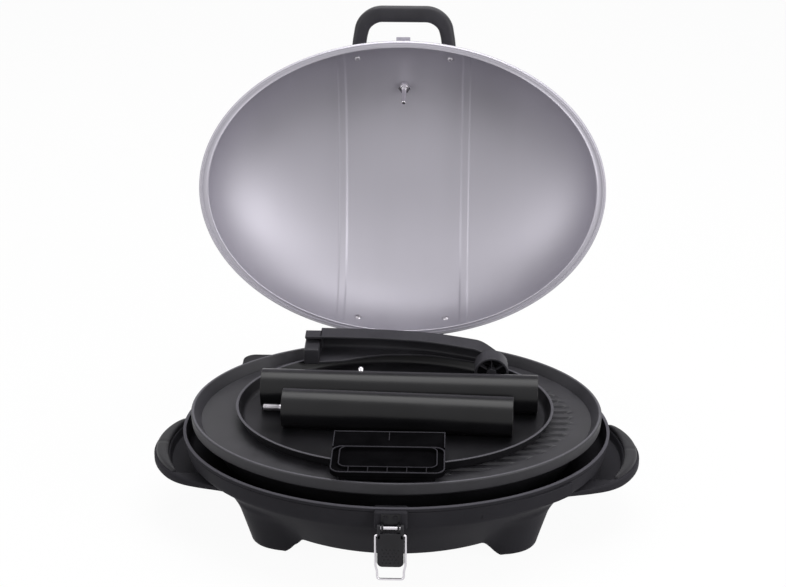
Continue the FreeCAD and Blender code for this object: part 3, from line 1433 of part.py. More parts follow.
tongue = common(
    "tongue",
    box("tongue_block", "foot_tongue_length + foot_wall", "foot_flange",
        "foot_height_left - foot_tongue_drop - foot_wall",
        "foot_x_start", "foot_back_y - foot_flange", FOOT_Z),
    foot_round("tongue_round", "foot_curve"),
)
HUB_Z = f"({PAN_FLOOR} + foot_seat_gap + hub_radius)"
hub_drum = rod("hub_drum", "hub_radius", "hub_back_y - hub_front_y", "hub_x", "hub_front_y", HUB_Z, "y")
hub_neck = common(
    "hub_neck",
    box("hub_neck_block", "2 * hub_radius - hub_wall", "foot_back_y - hub_neck_start_y", "hub_neck_height",
        "hub_x - hub_radius", "hub_neck_start_y", FOOT_Z),
    foot_round("hub_neck_round", "foot_curve"),
)


def hub_spoke(name, angle):
    spoke = doc.addObject("Part::Box", name)
    tie(spoke, Length="2 * hub_radius", Width="hub_depth", Height="hub_rib")
    bar = group(f"{name}_bar", spoke)
    place(spoke, "-hub_radius", "0", "-hub_rib / 2")
    bar.Placement = Placement(Vector(), Rotation(Vector(0, 1, 0), angle))
    return place(bar, "hub_x", "hub_front_y", HUB_Z)


hub_pocket = cut(
    "hub_pocket",
    rod("hub_pocket_round", "hub_radius - hub_wall", "hub_depth", "hub_x", "hub_front_y", HUB_Z, "y"),
    rod("hub_boss", "2 * hub_wall", "hub_depth", "hub_x", "hub_front_y", HUB_Z, "y"),
    *[hub_spoke(f"hub_spoke{n}", 30 + 60 * n) for n in range(3)],
)
foot_channel = cut("foot_channel", foot_block, foot_space, foot_trim, tongue_step, foot_arch)
piece("stand_foot", cut("stand_foot", fuse("foot_solid", foot_channel, tongue, hub_neck, hub_drum),
                        hub_pocket))


# Drip tray: a shallow cup in a wider rim, across the front of the pan and the plate.
TRAY_FRONT = "(-(plate_half_depth - tray_front_over))"
TRAY_Z = f"({PAN_TOP} + tray_seat_gap)"
TRAY_CUP_Y = f"({TRAY_FRONT} + (tray_length - tray_flange) / 2)"
CUP_WIDTH = "(2 * (tray_half_width - tray_margin))"
CUP_DEPTH = "(tray_length - tray_flange - tray_front_margin - tray_wall)"
CUP_Y = f"({TRAY_FRONT} + tray_front_margin + {CUP_DEPTH} / 2)"
tray_outside = rounded_block("tray_outside", "2 * tray_half_width", "tray_length - tray_flange",
                             "tray_height", "tray_corner", "tray_x", TRAY_CUP_Y, TRAY_Z)
tray_channel = rounded_block(
    "tray_channel", "2 * (tray_half_width - tray_wall)", "tray_length - tray_flange - 2 * tray_wall",
    "tray_height", "tray_corner - tray_wall", "tray_x", TRAY_CUP_Y, f"{TRAY_Z} + tray_wall")
cup_outside = rounded_block("cup_outside", f"{CUP_WIDTH} + 2 * tray_wall", f"{CUP_DEPTH} + 2 * tray_wall",
                            "tray_height - tray_cup_drop", "tray_cup_corner + tray_wall", "tray_x", CUP_Y,
                            TRAY_Z)
cup_inside = rounded_block("cup_inside", CUP_WIDTH, CUP_DEPTH, "tray_height", "tray_cup_corner", "tray_x",
                           CUP_Y, f"{TRAY_Z} + tray_wall")
tray_flange = mid_box("tray_flange", "tray_half_width", "tray_flange + tray_corner", "tray_wall", "tray_x",
                      f"{TRAY_FRONT} + tray_length - tray_flange - tray_corner",
                      f"{TRAY_Z} + tray_height - tray_wall")
APRON_Z = f"({PLATE_TOP} + tray_seat_gap)"
apron_outside = rounded_block("apron_outside", "2 * tray_half_width", "tray_length - tray_flange",
                              f"{TRAY_Z} + tray_wall - {APRON_Z}", "tray_corner", "tray_x", TRAY_CUP_Y,
                              APRON_Z)
apron_inside = rounded_block(
    "apron_inside", "2 * (tray_half_width - tray_wall)", "tray_length - tray_flange - 2 * tray_wall",
    "tray_height", "tray_corner - tray_wall", "tray_x", TRAY_CUP_Y, APRON_Z)
apron = common("apron", cut("apron_ring", apron_outside, apron_inside), mid_box(
    "apron_span", "tray_half_width", "tray_apron", "2 * tray_height", "tray_x", TRAY_FRONT, APRON_Z))
rib_count = int(size("tray_rib_count"))
tray_ribs = [
    box(f"tray_rib{n}", "tray_rib", "tray_front_margin - tray_wall",
        "tray_height - tray_cup_drop - tray_wall",
        f"tray_x + {n - (rib_count - 1) / 2} * {CUP_WIDTH} / tray_rib_count - tray_rib / 2", TRAY_FRONT,
        TRAY_Z)
    for n in range(rib_count)
]
tray_rim = cut("tray_rim", fuse("tray_rim_solid", tray_outside, tray_flange), tray_channel)
piece("drip_tray", cut("drip_tray", fuse("tray_solid", tray_rim, cup_outside, apron, *tray_ribs), cup_inside))

doc.recompute()
faults = []
for item in doc.Objects:
    if "Invalid" in item.State or "Error" in item.State:
        faults.append(f"{item.Label}: {item.State}")
for label, item in pieces.items():
    if item.Shape.isNull() or not item.Shape.isValid() or not item.Shape.Solids:
        faults.append(f"{label}: shape")
if faults:
    raise SystemExit("\n".join(faults))

os.makedirs("parts", exist_ok=True)
for label, item in pieces.items():
    item.Shape.exportStep(f"parts/{label}.step")
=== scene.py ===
import json
import math

import bmesh
import bpy
import numpy as np
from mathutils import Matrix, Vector


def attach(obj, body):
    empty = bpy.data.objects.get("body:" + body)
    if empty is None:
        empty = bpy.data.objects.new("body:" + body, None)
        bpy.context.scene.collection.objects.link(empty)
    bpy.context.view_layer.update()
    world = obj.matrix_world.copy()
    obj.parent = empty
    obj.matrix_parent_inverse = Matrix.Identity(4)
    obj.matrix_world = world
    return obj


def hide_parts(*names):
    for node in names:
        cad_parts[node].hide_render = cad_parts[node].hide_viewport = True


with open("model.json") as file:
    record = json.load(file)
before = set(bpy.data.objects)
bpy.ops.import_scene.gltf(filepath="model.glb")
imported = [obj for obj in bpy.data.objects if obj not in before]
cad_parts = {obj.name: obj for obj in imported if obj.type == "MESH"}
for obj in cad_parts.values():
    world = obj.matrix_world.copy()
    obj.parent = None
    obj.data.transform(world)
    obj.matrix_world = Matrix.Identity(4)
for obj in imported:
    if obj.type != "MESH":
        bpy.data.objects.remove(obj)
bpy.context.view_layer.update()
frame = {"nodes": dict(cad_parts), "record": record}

scene = bpy.context.scene
FULL_TURN = 2 * np.pi


# Materials

def noise(tree, place, feature_mm, detail=3, stretch=None):
    """Noise on Object coordinates at a scale of 1000 / feature_mm, so that its lumps are about that wide."""
    texture = tree.nodes.new("ShaderNodeTexNoise")
    texture.inputs["Scale"].default_value = 1000 / feature_mm
    texture.inputs["Detail"].default_value = detail
    source = place.outputs["Object"]
    if stretch:
        mapping = tree.nodes.new("ShaderNodeMapping")
        mapping.inputs["Scale"].default_value = stretch
        tree.links.new(source, mapping.inputs["Vector"])
        source = mapping.outputs["Vector"]
    tree.links.new(source, texture.inputs["Vector"])
    return texture.outputs["Fac"]


def spread(tree, value, low, high):
    """Stretch the middle of a noise value, 0.3 to 0.7, in a straight line over a range."""
    step = tree.nodes.new("ShaderNodeMapRange")
    step.inputs["From Min"].default_value = 0.3
    step.inputs["From Max"].default_value = 0.7
    step.inputs["To Min"].default_value = low
    step.inputs["To Max"].default_value = high
    tree.links.new(value, step.inputs["Value"])
    return step.outputs["Result"]


def painted_highlight_band(tree, place, colour, low_mm, high_mm, tone):
    """Paint a highlight: fade a colour to a grey in a straight line between two heights."""
    axes = tree.nodes.new("ShaderNodeSeparateXYZ")
    tree.links.new(place.outputs["Object"], axes.inputs["Vector"])
    rise = tree.nodes.new("ShaderNodeMapRange")
    rise.inputs["From Min"].default_value = low_mm / 1000
    rise.inputs["From Max"].default_value = high_mm / 1000
    tree.links.new(axes.outputs["Z"], rise.inputs["Value"])
    mix = tree.nodes.new("ShaderNodeMix")
    mix.data_type = "RGBA"
    tree.links.new(rise.outputs["Result"], mix.inputs["Factor"])
    tree.links.new(colour, mix.inputs["A"])
    mix.inputs["B"].default_value = (*grey(tone, tone)[0], 1)
    return mix.outputs["Result"]


def finish(name, dark, light, rough, patch_mm=40, grain_mm=0.6, grain_depth_mm=0.03, metallic=0,
           stretch=None, specular=0.5, edge=None):
    """A surface whose colour and roughness drift in patches and whose bump is a fine grain.

    An edge is two heights in millimetres and a grey: the surface fades to that grey between them, as a
    painted highlight along a rim.
    """
    material = bpy.data.materials.new(name)
    material.use_nodes = True
    tree = material.node_tree
    shader = tree.nodes["Principled BSDF"]
    shader.inputs["Metallic"].default_value = metallic
    shader.inputs["Specular IOR Level"].default_value = specular
    place = tree.nodes.new("ShaderNodeTexCoord")
    patches = noise(tree, place, patch_mm, stretch=stretch)
    colour = tree.nodes.new("ShaderNodeMix")
    colour.data_type = "RGBA"
    colour.inputs["A"].default_value = (*dark, 1)
    colour.inputs["B"].default_value = (*light, 1)
    tree.links.new(spread(tree, patches, 0, 1), colour.inputs["Factor"])
    shown = colour.outputs["Result"]
    if edge:
        # The edge's grey is a painted highlight along a rim, lighter between the two heights.
        shown = painted_highlight_band(tree, place, shown, *edge)
    tree.links.new(shown, shader.inputs["Base Color"])
    tree.links.new(spread(tree, patches, *rough), shader.inputs["Roughness"])
    bump = tree.nodes.new("ShaderNodeBump")
    bump.inputs["Strength"].default_value = 0.6
    bump.inputs["Distance"].default_value = grain_depth_mm / 1000
    tree.links.new(noise(tree, place, grain_mm, 2, stretch), bump.inputs["Height"])
    tree.links.new(bump.outputs["Normal"], shader.inputs["Normal"])
    return material


def grey(low, high, blue=1.12):
    """Two greys, a dark and a light one: the tone in red, 0.965 of it in green, a little more in blue."""
    return (low, 0.965 * low, blue * low), (high, 0.965 * high, blue * high)


FINISH = {
    "black_moulding": finish("textured black moulding", *grey(0.017, 0.025), (0.45, 0.58), 60, 0.7, 0.05,
                             specular=0.1),
    "black_grip": finish("satin black grip", *grey(0.016, 0.023), (0.38, 0.48), 30, 0.5, 0.02, specular=0.2),
    "plate_coating": finish("dark plate coating", *grey(0.020, 0.030), (0.40, 0.52), 25, 0.8, 0.05,
                            specular=0.3),
    "lid_metal": finish("satin lid metal", *grey(0.44, 0.48, 1.07), (0.49, 0.57), 90, 0.5, 0.012,
                        metallic=0.78, stretch=(1, 0.15, 0.15)),
    "black_enamel": finish("black enamel", *grey(0.010, 0.015), (0.34, 0.44), 50, 0.9, 0.02, specular=0.22),
    "tube_paint": finish("black tube paint", *grey(0.004, 0.007), (0.27, 0.32), 70, 1.2, 0.02, specular=0.27),
    "bright_steel": finish("bright steel", *grey(0.62, 0.70, 1.02), (0.16, 0.26), 8, 0.3, 0.006, metallic=1),
    "zinc_steel": finish("plated steel", *grey(0.45, 0.58, 1.02), (0.26, 0.38), 5, 0.4, 0.01, metallic=1),
    "foot_plastic": finish("black foot moulding", *grey(0.030, 0.042), (0.40, 0.52), 40, 0.7, 0.04,
                           specular=0.22),
    "rubber_pad": finish("black rubber", *grey(0.010, 0.016), (0.60, 0.75), 10, 0.6, 0.05, specular=0.2),
    "dial_card": finish("pale dial card", *grey(0.78, 0.84, 0.97), (0.45, 0.55), 12, 0.4, 0.005),
    "needle_red": finish("red needle paint", (0.5, 0.03, 0.02), (0.6, 0.05, 0.03), (0.35, 0.45), 4, 0.3,
                         0.005),
    "ceramic": finish("pale heat-proof block", *grey(0.6, 0.7, 0.92), (0.5, 0.65), 9, 0.5, 0.03),
    "brass_strip": finish("plain brass", (0.6, 0.42, 0.15), (0.7, 0.52, 0.22), (0.25, 0.4), 6, 0.4, 0.01,
                          metallic=1),
}
# The lip fades to a lighter grey between 110.6 and 111.6 mm: a painted highlight.
FINISH["base_moulding"] = finish("black moulding with a painted lip highlight", *grey(0.029, 0.037), (0.50, 0.62), 60,
                                 0.7, 0.05, specular=0.03, edge=(110.6, 111.6, 0.11))
# The plate's rim fades to a lighter grey between 137.3 and 138 mm: a painted highlight.
FINISH["plate_top"] = finish("plate coating with a painted rim highlight", *grey(0.024, 0.034), (0.40, 0.52), 25, 0.8,
                             0.05, specular=0.3, edge=(137.3, 138.0, 0.09))
# The pan's rim fades to a lighter grey between 141.6 and 142 mm: a painted highlight.
FINISH["pan_enamel"] = finish("enamel with a painted rim highlight", *grey(0.010, 0.016), (0.34, 0.44), 50, 0.9, 0.02,
                              specular=0.25, edge=(141.6, 142.0, 0.08))
# The tray's rim fades to a lighter grey between 148.3 and 149.1 mm: a painted highlight.
FINISH["tray_coating"] = finish("deep black tray coating with a painted rim highlight", *grey(0.003, 0.005), (0.50, 0.65), 20, 0.6, 0.03,
                                specular=0.0, edge=(148.3, 149.1, 0.05))
FINISH["handle_moulding"] = finish("satin black handle", *grey(0.026, 0.036), (0.38, 0.48), 30, 0.5, 0.02,
                                   specular=0.22)
FINISH["dial_ink"] = finish("black dial ink", *grey(0.01, 0.015), (0.5, 0.6), 5, 0.3, 0.004)


def clear_glass():
    """Clear glass with faint smears in its roughness."""
    material = finish("clear dial glass", *grey(0.94, 0.97), (0.01, 0.06), 15, 1.5, 0.002)
    shader = material.node_tree.nodes["Principled BSDF"]
    shader.inputs["Transmission Weight"].default_value = 1
    shader.inputs["IOR"].default_value = 1.46
    return material


FINISH["dial_glass"] = clear_glass()
slot_of = {part["node"]: part["material_slot"] for part in frame["record"]["subparts"]}
slot_of.update(latch_rivets="black_moulding", lid_catch="lid_metal", catch_rivets="lid_metal")
for node_name, node in frame["nodes"].items():
    node.data.materials.clear()
    node.data.materials.append(FINISH[slot_of[node_name]])


# Surfaces from number grids, in millimetres

def soften(corners, bend, closed=False, steps=6):
    """Round a polyline: each corner becomes the parabola from bend before it to bend after it."""
    corners = np.asarray(corners, float)
    bend = np.broadcast_to(np.asarray(bend, float), len(corners))
    if closed:
        corners = np.vstack([corners[-1:], corners, corners[:1]])
        bend = np.concatenate([bend[-1:], bend, bend[:1]])
    into = corners[1:-1] - corners[:-2]
    out = corners[2:] - corners[1:-1]
    into_length = np.linalg.norm(into, axis=1, keepdims=True)
    out_length = np.linalg.norm(out, axis=1, keepdims=True)
    reach = np.minimum(bend[1:-1, None], 0.48 * np.minimum(into_length, out_length))
    start = (corners[1:-1] - into / into_length * reach)[:, None]
    end = (corners[1:-1] + out / out_length * reach)[:, None]
    t = np.linspace(0, 1, steps)[None, :, None]
    curve = (1 - t) ** 2 * start + 2 * t * (1 - t) * corners[1:-1][:, None] + t ** 2 * end
    curve = curve.reshape(-1, corners.shape[1])
    return curve if closed else np.vstack([corners[:1], curve, corners[-1:]])


def oval_rows(levels, around=160):
    """Rows of ovals: at half width a, half depth b and height z, points (a cos s, b sin s, z) all round."""
    levels = np.asarray(levels, float)
    s = np.arange(around) / around * FULL_TURN
    flat = np.ones_like(s)
    x, y = np.outer(levels[:, 0], np.cos(s)), np.outer(levels[:, 1], np.sin(s))
    return np.stack([x, y, np.outer(levels[:, 2], flat)], 2)


def round_rows(profile, around=32):
    """Turn a profile of radius and height about Z."""
    profile = np.asarray(profile, float)
    return oval_rows(profile[:, [0, 0, 1]], around)


def rect_rows(rows, per_corner=8):
    """Rows of rounded rectangles: middle x, middle y, half width, half depth, corner radius and height."""
    rows = np.asarray(rows, float)
    x, y, half_x, half_y, corner, z = (rows[:, n, None] for n in range(6))
    quarter = np.linspace(0, np.pi / 2, per_corner)
    angle = np.concatenate([quarter + n * np.pi / 2 for n in range(4)])[None]
    side_x = np.repeat([1, -1, -1, 1], per_corner)[None]
    side_y = np.repeat([1, 1, -1, -1], per_corner)[None]
    return np.stack([
        x + side_x * (half_x - corner) + corner * np.cos(angle),
        y + side_y * (half_y - corner) + corner * np.sin(angle),
        z + 0 * angle,
    ], 2)


def sweep(path, across, up, section):
    """Carry a section along a path: at each station, path + across * section u + up * section v."""
    section = np.asarray(section, float)
    if section.ndim == 2:
        section = np.broadcast_to(section, (len(path), *section.shape))
    return path[:, None] + across[:, None] * section[..., :1] + up[:, None] * section[..., 1:]


def capped(points):
    """Close both ends of a run of rows with their middle points."""
    first = np.broadcast_to(points[:1].mean(1, keepdims=True), points[:1].shape)
    last = np.broadcast_to(points[-1:].mean(1, keepdims=True), points[-1:].shape)
    return np.concatenate([first, points, last])


def rounded_block(low, high, radius, per_corner=4):
    """A box with rounded edges: sign * (half - radius) + radius * direction, over a ball's directions."""
    low, high = np.asarray(low, float), np.asarray(high, float)
    half = (high - low) / 2
    quarter = np.linspace(0, np.pi / 2, per_corner)
    turn = np.concatenate([quarter + n * np.pi / 2 for n in range(4)])
    rise = np.concatenate([quarter - np.pi / 2, quarter])
    side_x = np.repeat([1, -1, -1, 1], per_corner)
    side_y = np.repeat([1, 1, -1, -1], per_corner)
    side_z = np.repeat([-1, 1], per_corner)
    ball = np.stack([np.outer(np.cos(rise), np.cos(turn)), np.outer(np.cos(rise), np.sin(turn)),
                     np.outer(np.sin(rise), np.ones_like(turn))], 2)
    side = np.stack(np.broadcast_arrays(side_x[None], side_y[None], side_z[:, None]), 2)
    return capped((low + high) / 2 + side * (half - radius) + radius * ball)


def wire(path, radius, around=12):
    """A round bar with closed ends: at each path point a circle square to the path.

    One fixed direction, the one that the path spreads least along, keeps the circles level.
    """
    path = np.asarray(path, float)
    ahead = np.roll(path, -1, 0) - np.roll(path, 1, 0)
    ahead[0], ahead[-1] = path[1] - path[0], path[-1] - path[-2]
    ahead /= np.linalg.norm(ahead, axis=1, keepdims=True)
    level = np.linalg.svd(path - path.mean(0))[2][-1]
    across = np.cross(ahead, level)
    across /= np.linalg.norm(across, axis=1, keepdims=True)
    up = np.cross(across, ahead)
    s = np.arange(around) / around * FULL_TURN
    rows = sweep(path, across, up, radius * np.column_stack([np.cos(s), np.sin(s)]))
    return capped(rows)


def make(name, grids, body, finish_name, replaced=(), ring=False, sharp=40):
    """One piece from grids of points; rows wrap round across, and ring closes the last row onto the first."""
    points, faces, count = [], [], 0
    for grid in grids:
        rows, columns = grid.shape[:2]
        row = np.arange(rows if ring else rows - 1)
        index = np.arange(rows * columns).reshape(rows, columns) + count
        here, beside = index[row], np.roll(index, -1, 1)[row]
        below = index[(row + 1) % rows]
        below_beside = np.roll(index, -1, 1)[(row + 1) % rows]
        faces.append(np.stack([here, beside, below_beside, below], 2).reshape(-1, 4))
        points.append(grid.reshape(-1, 3))
        count += rows * columns
    mesh = bpy.data.meshes.new(name)
    mesh.from_pydata(np.concatenate(points) / 1000, [], np.concatenate(faces).tolist())
    shape = bmesh.new()
    shape.from_mesh(mesh)
    bmesh.ops.remove_doubles(shape, verts=shape.verts, dist=2e-6)
    bmesh.ops.dissolve_degenerate(shape, edges=shape.edges, dist=1e-7)
    bmesh.ops.recalc_face_normals(shape, faces=shape.faces)
    shape.to_mesh(mesh)
    shape.free()
    mesh.polygons.foreach_set("use_smooth", np.ones(len(mesh.polygons), bool))
    mesh.set_sharp_from_angle(angle=math.radians(sharp))
    mesh.materials.append(FINISH[finish_name])
    piece = bpy.data.objects.new(name, mesh)
    scene.collection.objects.link(piece)
    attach(piece, body)
    if replaced:
        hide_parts(*replaced)
    return piece


HINGE = np.array([0, 213, 115.0])
OPEN_ANGLE = math.radians(98)


def opened(points):
    """Turn points of the shut lid about the hinge to where the lid stands open."""
    offset = points - HINGE
    cos, sin = math.cos(OPEN_ANGLE), math.sin(OPEN_ANGLE)
    back = offset[..., 1] * cos + offset[..., 2] * sin
    up = offset[..., 2] * cos - offset[..., 1] * sin
    return np.stack([offset[..., 0], back, up], -1) + HINGE


# Lid

LID_A, LID_B, LID_H, LID_Z = 263, 195, 120, 112.8
LID_WALL = 1.5
SIDE_POWER, CROWN_POWER = 2.4, 2.2
BAND_X, BAND_HALF, BAND_EDGE, BAND_DEPTH = 83, 5, 0.5, 1.1


def dome_height(x, y):
    """Height of the dome's outside above its rim: H (1 - d^p)^(1/q), where d is sqrt(x^2/a^2 + y^2/b^2)."""
    return LID_H * (1 - np.hypot(x / LID_A, y / LID_B) ** SIDE_POWER) ** (1 / CROWN_POWER)


def dome_face(inset, station, turn):
    """One face of the dome: x = a u, y = b sqrt(1 - u^2) sin t.

    The height comes from the distance sqrt(x^2/a^2 + y^2/b^2), as dome_height has it. Two pressed bands draw
    the face in towards the mouth's middle, by up to BAND_DEPTH where x is near BAND_X.
    """
    across = station[:, None] + 0 * turn
    along = np.sqrt(1 - station ** 2)[:, None] * np.sin(turn)
    height = (LID_H - inset) * np.maximum(1 - np.hypot(across, along) ** SIDE_POWER, 0) ** (1 / CROWN_POWER)
    x, y = (LID_A - inset) * across, (LID_B - inset) * along
    band = 1 / (1 + np.exp((np.abs(np.abs(x) - BAND_X) - BAND_HALF) / BAND_EDGE))
    drawn = BAND_DEPTH * band * np.clip((height - 4) / 10, 0, 1)
    keep = 1 - drawn / np.maximum(np.hypot(y, height), 20)
    return np.stack([x, y * keep, LID_Z + height * keep], 2)


def lid_rows():
    """The dome as slices across X: each runs back along the inside and returns along the outside."""
    wide = np.sin(np.linspace(-np.pi / 2, np.pi / 2, 110))
    bands = np.linspace(BAND_X - 10, BAND_X + 10, 36) / LID_A
    station = np.unique(np.concatenate([wide, bands, -bands]))
    turn = np.linspace(-np.pi / 2, np.pi / 2, 90)
    inside, outside = dome_face(LID_WALL, station, turn), dome_face(0, station, turn)
    return capped(np.concatenate([inside, outside[:, ::-1]], 1))


def hem_rows():
    """The rolled hem round the mouth as ovals: a bead outside the wall, a groove and a flange turned inwards.

    Each place is a distance out in X, one in Y and a height. The flange is wider at the sides, where the
    plate inside leaves more room.
    """
    section = [(3, 3, 6), (-0.5, -0.5, 6.4), (-9.2, -5.4, 4.2), (-9.8, -6.0, 2.4), (-8.4, -5.0, 1.2),
               (-6.6, -4.0, 2.0), (-1.4, -1.2, 2.2), (-0.6, -0.6, 0.6), (0.6, 0.6, 0), (1.6, 1.6, 0),
               (3, 3, 1.5)]
    loop = [(LID_A + out_x, LID_B + out_y, LID_Z + up) for out_x, out_y, up in section]
    return oval_rows(soften(loop, 0.7, closed=True, steps=4), 260)


make("lid_dome", [opened(lid_rows())], "lid", "lid_metal", ["lid_shell"])
make("lid_hem", [opened(hem_rows())], "lid", "lid_metal", ring=True)


# Base

LOBE_X, LOBE_Y = 136.5, 86
LOBE_LOW, LOBE_HIGH = 10, 63
LOBE_FOOT, LOBE_FLAT = 3, 25
LOBE_RADIUS, LOBE_WIDENS, LOBE_TUCK = 36.5, 9, 8
LOBE_OUT_X, LOBE_OUT_Y, LOBE_MISS = 4, 6, 4
TUB_BOTTOM, TUB_STRETCH = 28, 52
SOCKET_HOLE = 28.4
TUB_AROUND = 400
EDGE_DROP_WIDE, EDGE_DROP_SLOPE = 54, 27
UNDER_SLOPE = 38
UNDER_EDGE = 14
LOBE_FADE = 18
LOBE_FILLET = 6
WALL_LOW, WALL_HIGH = (224, 184, 66), (257.5, 192.5, 84)


def finer(levels, step):
    """Add rows by straight interpolation so that no two are more than a step apart along the profile."""
    run = np.concatenate([[0], np.cumsum(np.linalg.norm(np.diff(levels, axis=0), axis=1))])
    places = np.union1d(run, np.arange(0, run[-1], step))
    return np.column_stack([np.interp(places, run, levels[:, n]) for n in range(levels.shape[1])])


def smooth_larger(one, other, blend):
    """The larger of two reaches with a fillet: k log(e^(p/k) + e^(q/k))."""
    return blend * np.logaddexp(one / blend, other / blend)


def oval_reach(turn, half_x, half_y):
    """Distance from the middle to an oval in a direction t: 1 / sqrt(cos^2 t / a^2 + sin^2 t / b^2)."""
    return 1 / np.hypot(np.cos(turn) / half_x, np.sin(turn) / half_y)


def lobe_reach(turn, height):
    """Distance from the middle to the far side of a foot lobe, where a ray leaves a circle.

    With height the circle moves out and widens in a straight line. Below LOBE_LOW its edge is a quarter
    round. A ray that misses it loses LOBE_MISS times the distance it misses by.
    """
    part = np.clip((height - LOBE_LOW) / (LOBE_HIGH - LOBE_LOW), 0, 1)
    middle_x, middle_y = LOBE_X + LOBE_OUT_X * part, LOBE_Y + LOBE_OUT_Y * part
    tuck = np.clip((LOBE_LOW - height) / (LOBE_LOW - LOBE_FOOT), 0, 1)
    radius = LOBE_RADIUS + LOBE_WIDENS * part - LOBE_TUCK * (1 - np.sqrt(1 - 0.99 * tuck ** 2))
    away = np.hypot(middle_x, middle_y)
    aside = np.arctan2(np.abs(np.sin(turn)), np.abs(np.cos(turn))) - np.arctan2(middle_y, middle_x)
    beside = np.abs(away * np.sin(aside))
    over = np.maximum(beside - radius, 0)
    return away * np.cos(aside) + np.sqrt(np.maximum(radius ** 2 - beside ** 2, 0)) - LOBE_MISS * over


def tub_rows():
    """The tub as ovals: up its inside from the socket's hole, over the beaded lip, down outside and under.

    Below the bend the outside swells over the four foot lobes, where the bottom edge drops to the lobe's pad.
    The underside comes back to the tub's own bottom away from each lobe.
    """
    inside = [(SOCKET_HOLE, SOCKET_HOLE, 31), (188.3, 156.6, 31), (221, 181, 66), (254.5, 189.5, 84),
              (259, 194, 112)]
    wall = [(262.6, 197.6, 112), (262.4, 197.4, 107.4), (259.8, 194.8, 106.6), (261.4, 196.4, 105.4),
            WALL_HIGH, WALL_LOW, (191.3, 159.6, TUB_BOTTOM)]
    turn = np.arange(TUB_AROUND) / TUB_AROUND * FULL_TURN
    within = oval_rows(finer(soften(inside, [0, 8, 8, 6, 0]), 14), TUB_AROUND)
    levels = finer(soften(wall, [0, 0.8, 0.5, 0.5, 5, 14, 0]), 3)
    oval = oval_reach(turn, levels[:, :1], levels[:, 1:2])
    height = levels[:, 2:] + 0 * turn
    aside = np.arctan2(np.abs(np.sin(turn)), np.abs(np.cos(turn))) - math.atan2(LOBE_Y, LOBE_X)
    beside = np.abs(math.hypot(LOBE_X, LOBE_Y) * np.sin(aside))
    drop = np.clip((EDGE_DROP_WIDE - beside) / EDGE_DROP_SLOPE, 0, 1)
    drop = (TUB_BOTTOM - LOBE_FOOT) * drop * drop * (3 - 2 * drop)
    height = height - drop * np.clip((TUB_STRETCH - height) / (TUB_STRETCH - TUB_BOTTOM), 0, 1)
    share = np.clip((WALL_HIGH[2] - height) / LOBE_FADE, 0, 1)
    reach = oval + share * (smooth_larger(oval, lobe_reach(turn, height), LOBE_FILLET) - oval)
    outside = np.stack([reach * np.cos(turn), reach * np.sin(turn), height], 2)
    part = np.linspace(0, 1, 46)[1:, None]
    inward = reach[-1] + (SOCKET_HOLE - reach[-1]) * part
    x, y = inward * np.cos(turn), inward * np.sin(turn)
    away = np.hypot(np.abs(x) - LOBE_X, np.abs(y) - LOBE_Y)
    sunk = np.clip((UNDER_SLOPE - away) / (UNDER_SLOPE - LOBE_FLAT), 0, 1)
    sunk = (TUB_BOTTOM - LOBE_FOOT) * sunk * sunk * (3 - 2 * sunk)
    near_edge = np.clip((inward - reach[-1]) / UNDER_EDGE + 1, 0, 1)
    below = TUB_BOTTOM - (near_edge * drop + (1 - near_edge) * sunk)
    under = np.stack([x, y, below], 2)
    return np.concatenate([within, outside, under, within[:1]])


EAR_X, EAR_A, EAR_B = 195, 106, 98
EAR_TOP, EAR_LOW, EAR_ROUND = 79.5, 66, 4
EAR_FILLET = 7
EAR_TURN = 0.62
RISE_START, RISE_RUN, RISE = 0.2, 0.25, 7
RECESS_X, RECESS_R, RECESS_HALF, RECESS_DEPTH = 145, 136, 68, 10
GRIP_A, GRIP_B, GRIP_HALF = 103, 96, 66
GRIP_LOW, GRIP_SEAT, GRIP_RISE = 78.6, 79, 6.5
LEDGE_START, LEDGE_END, LEDGE_Z = 105, 211, 97
LEDGE_A, LEDGE_B = 259.5, 194.5
LEDGE_GROWS, LEDGE_RAMP = 0.022, 90


def wall_reach(turn, height):
    """Distance from the middle to the tub's sloping wall: a straight line in height from bend to band."""
    part = (height - WALL_LOW[2]) / (WALL_HIGH[2] - WALL_LOW[2])
    return oval_reach(turn, WALL_LOW[0] + part * (WALL_HIGH[0] - WALL_LOW[0]),
                      WALL_LOW[1] + part * (WALL_HIGH[1] - WALL_LOW[1]))


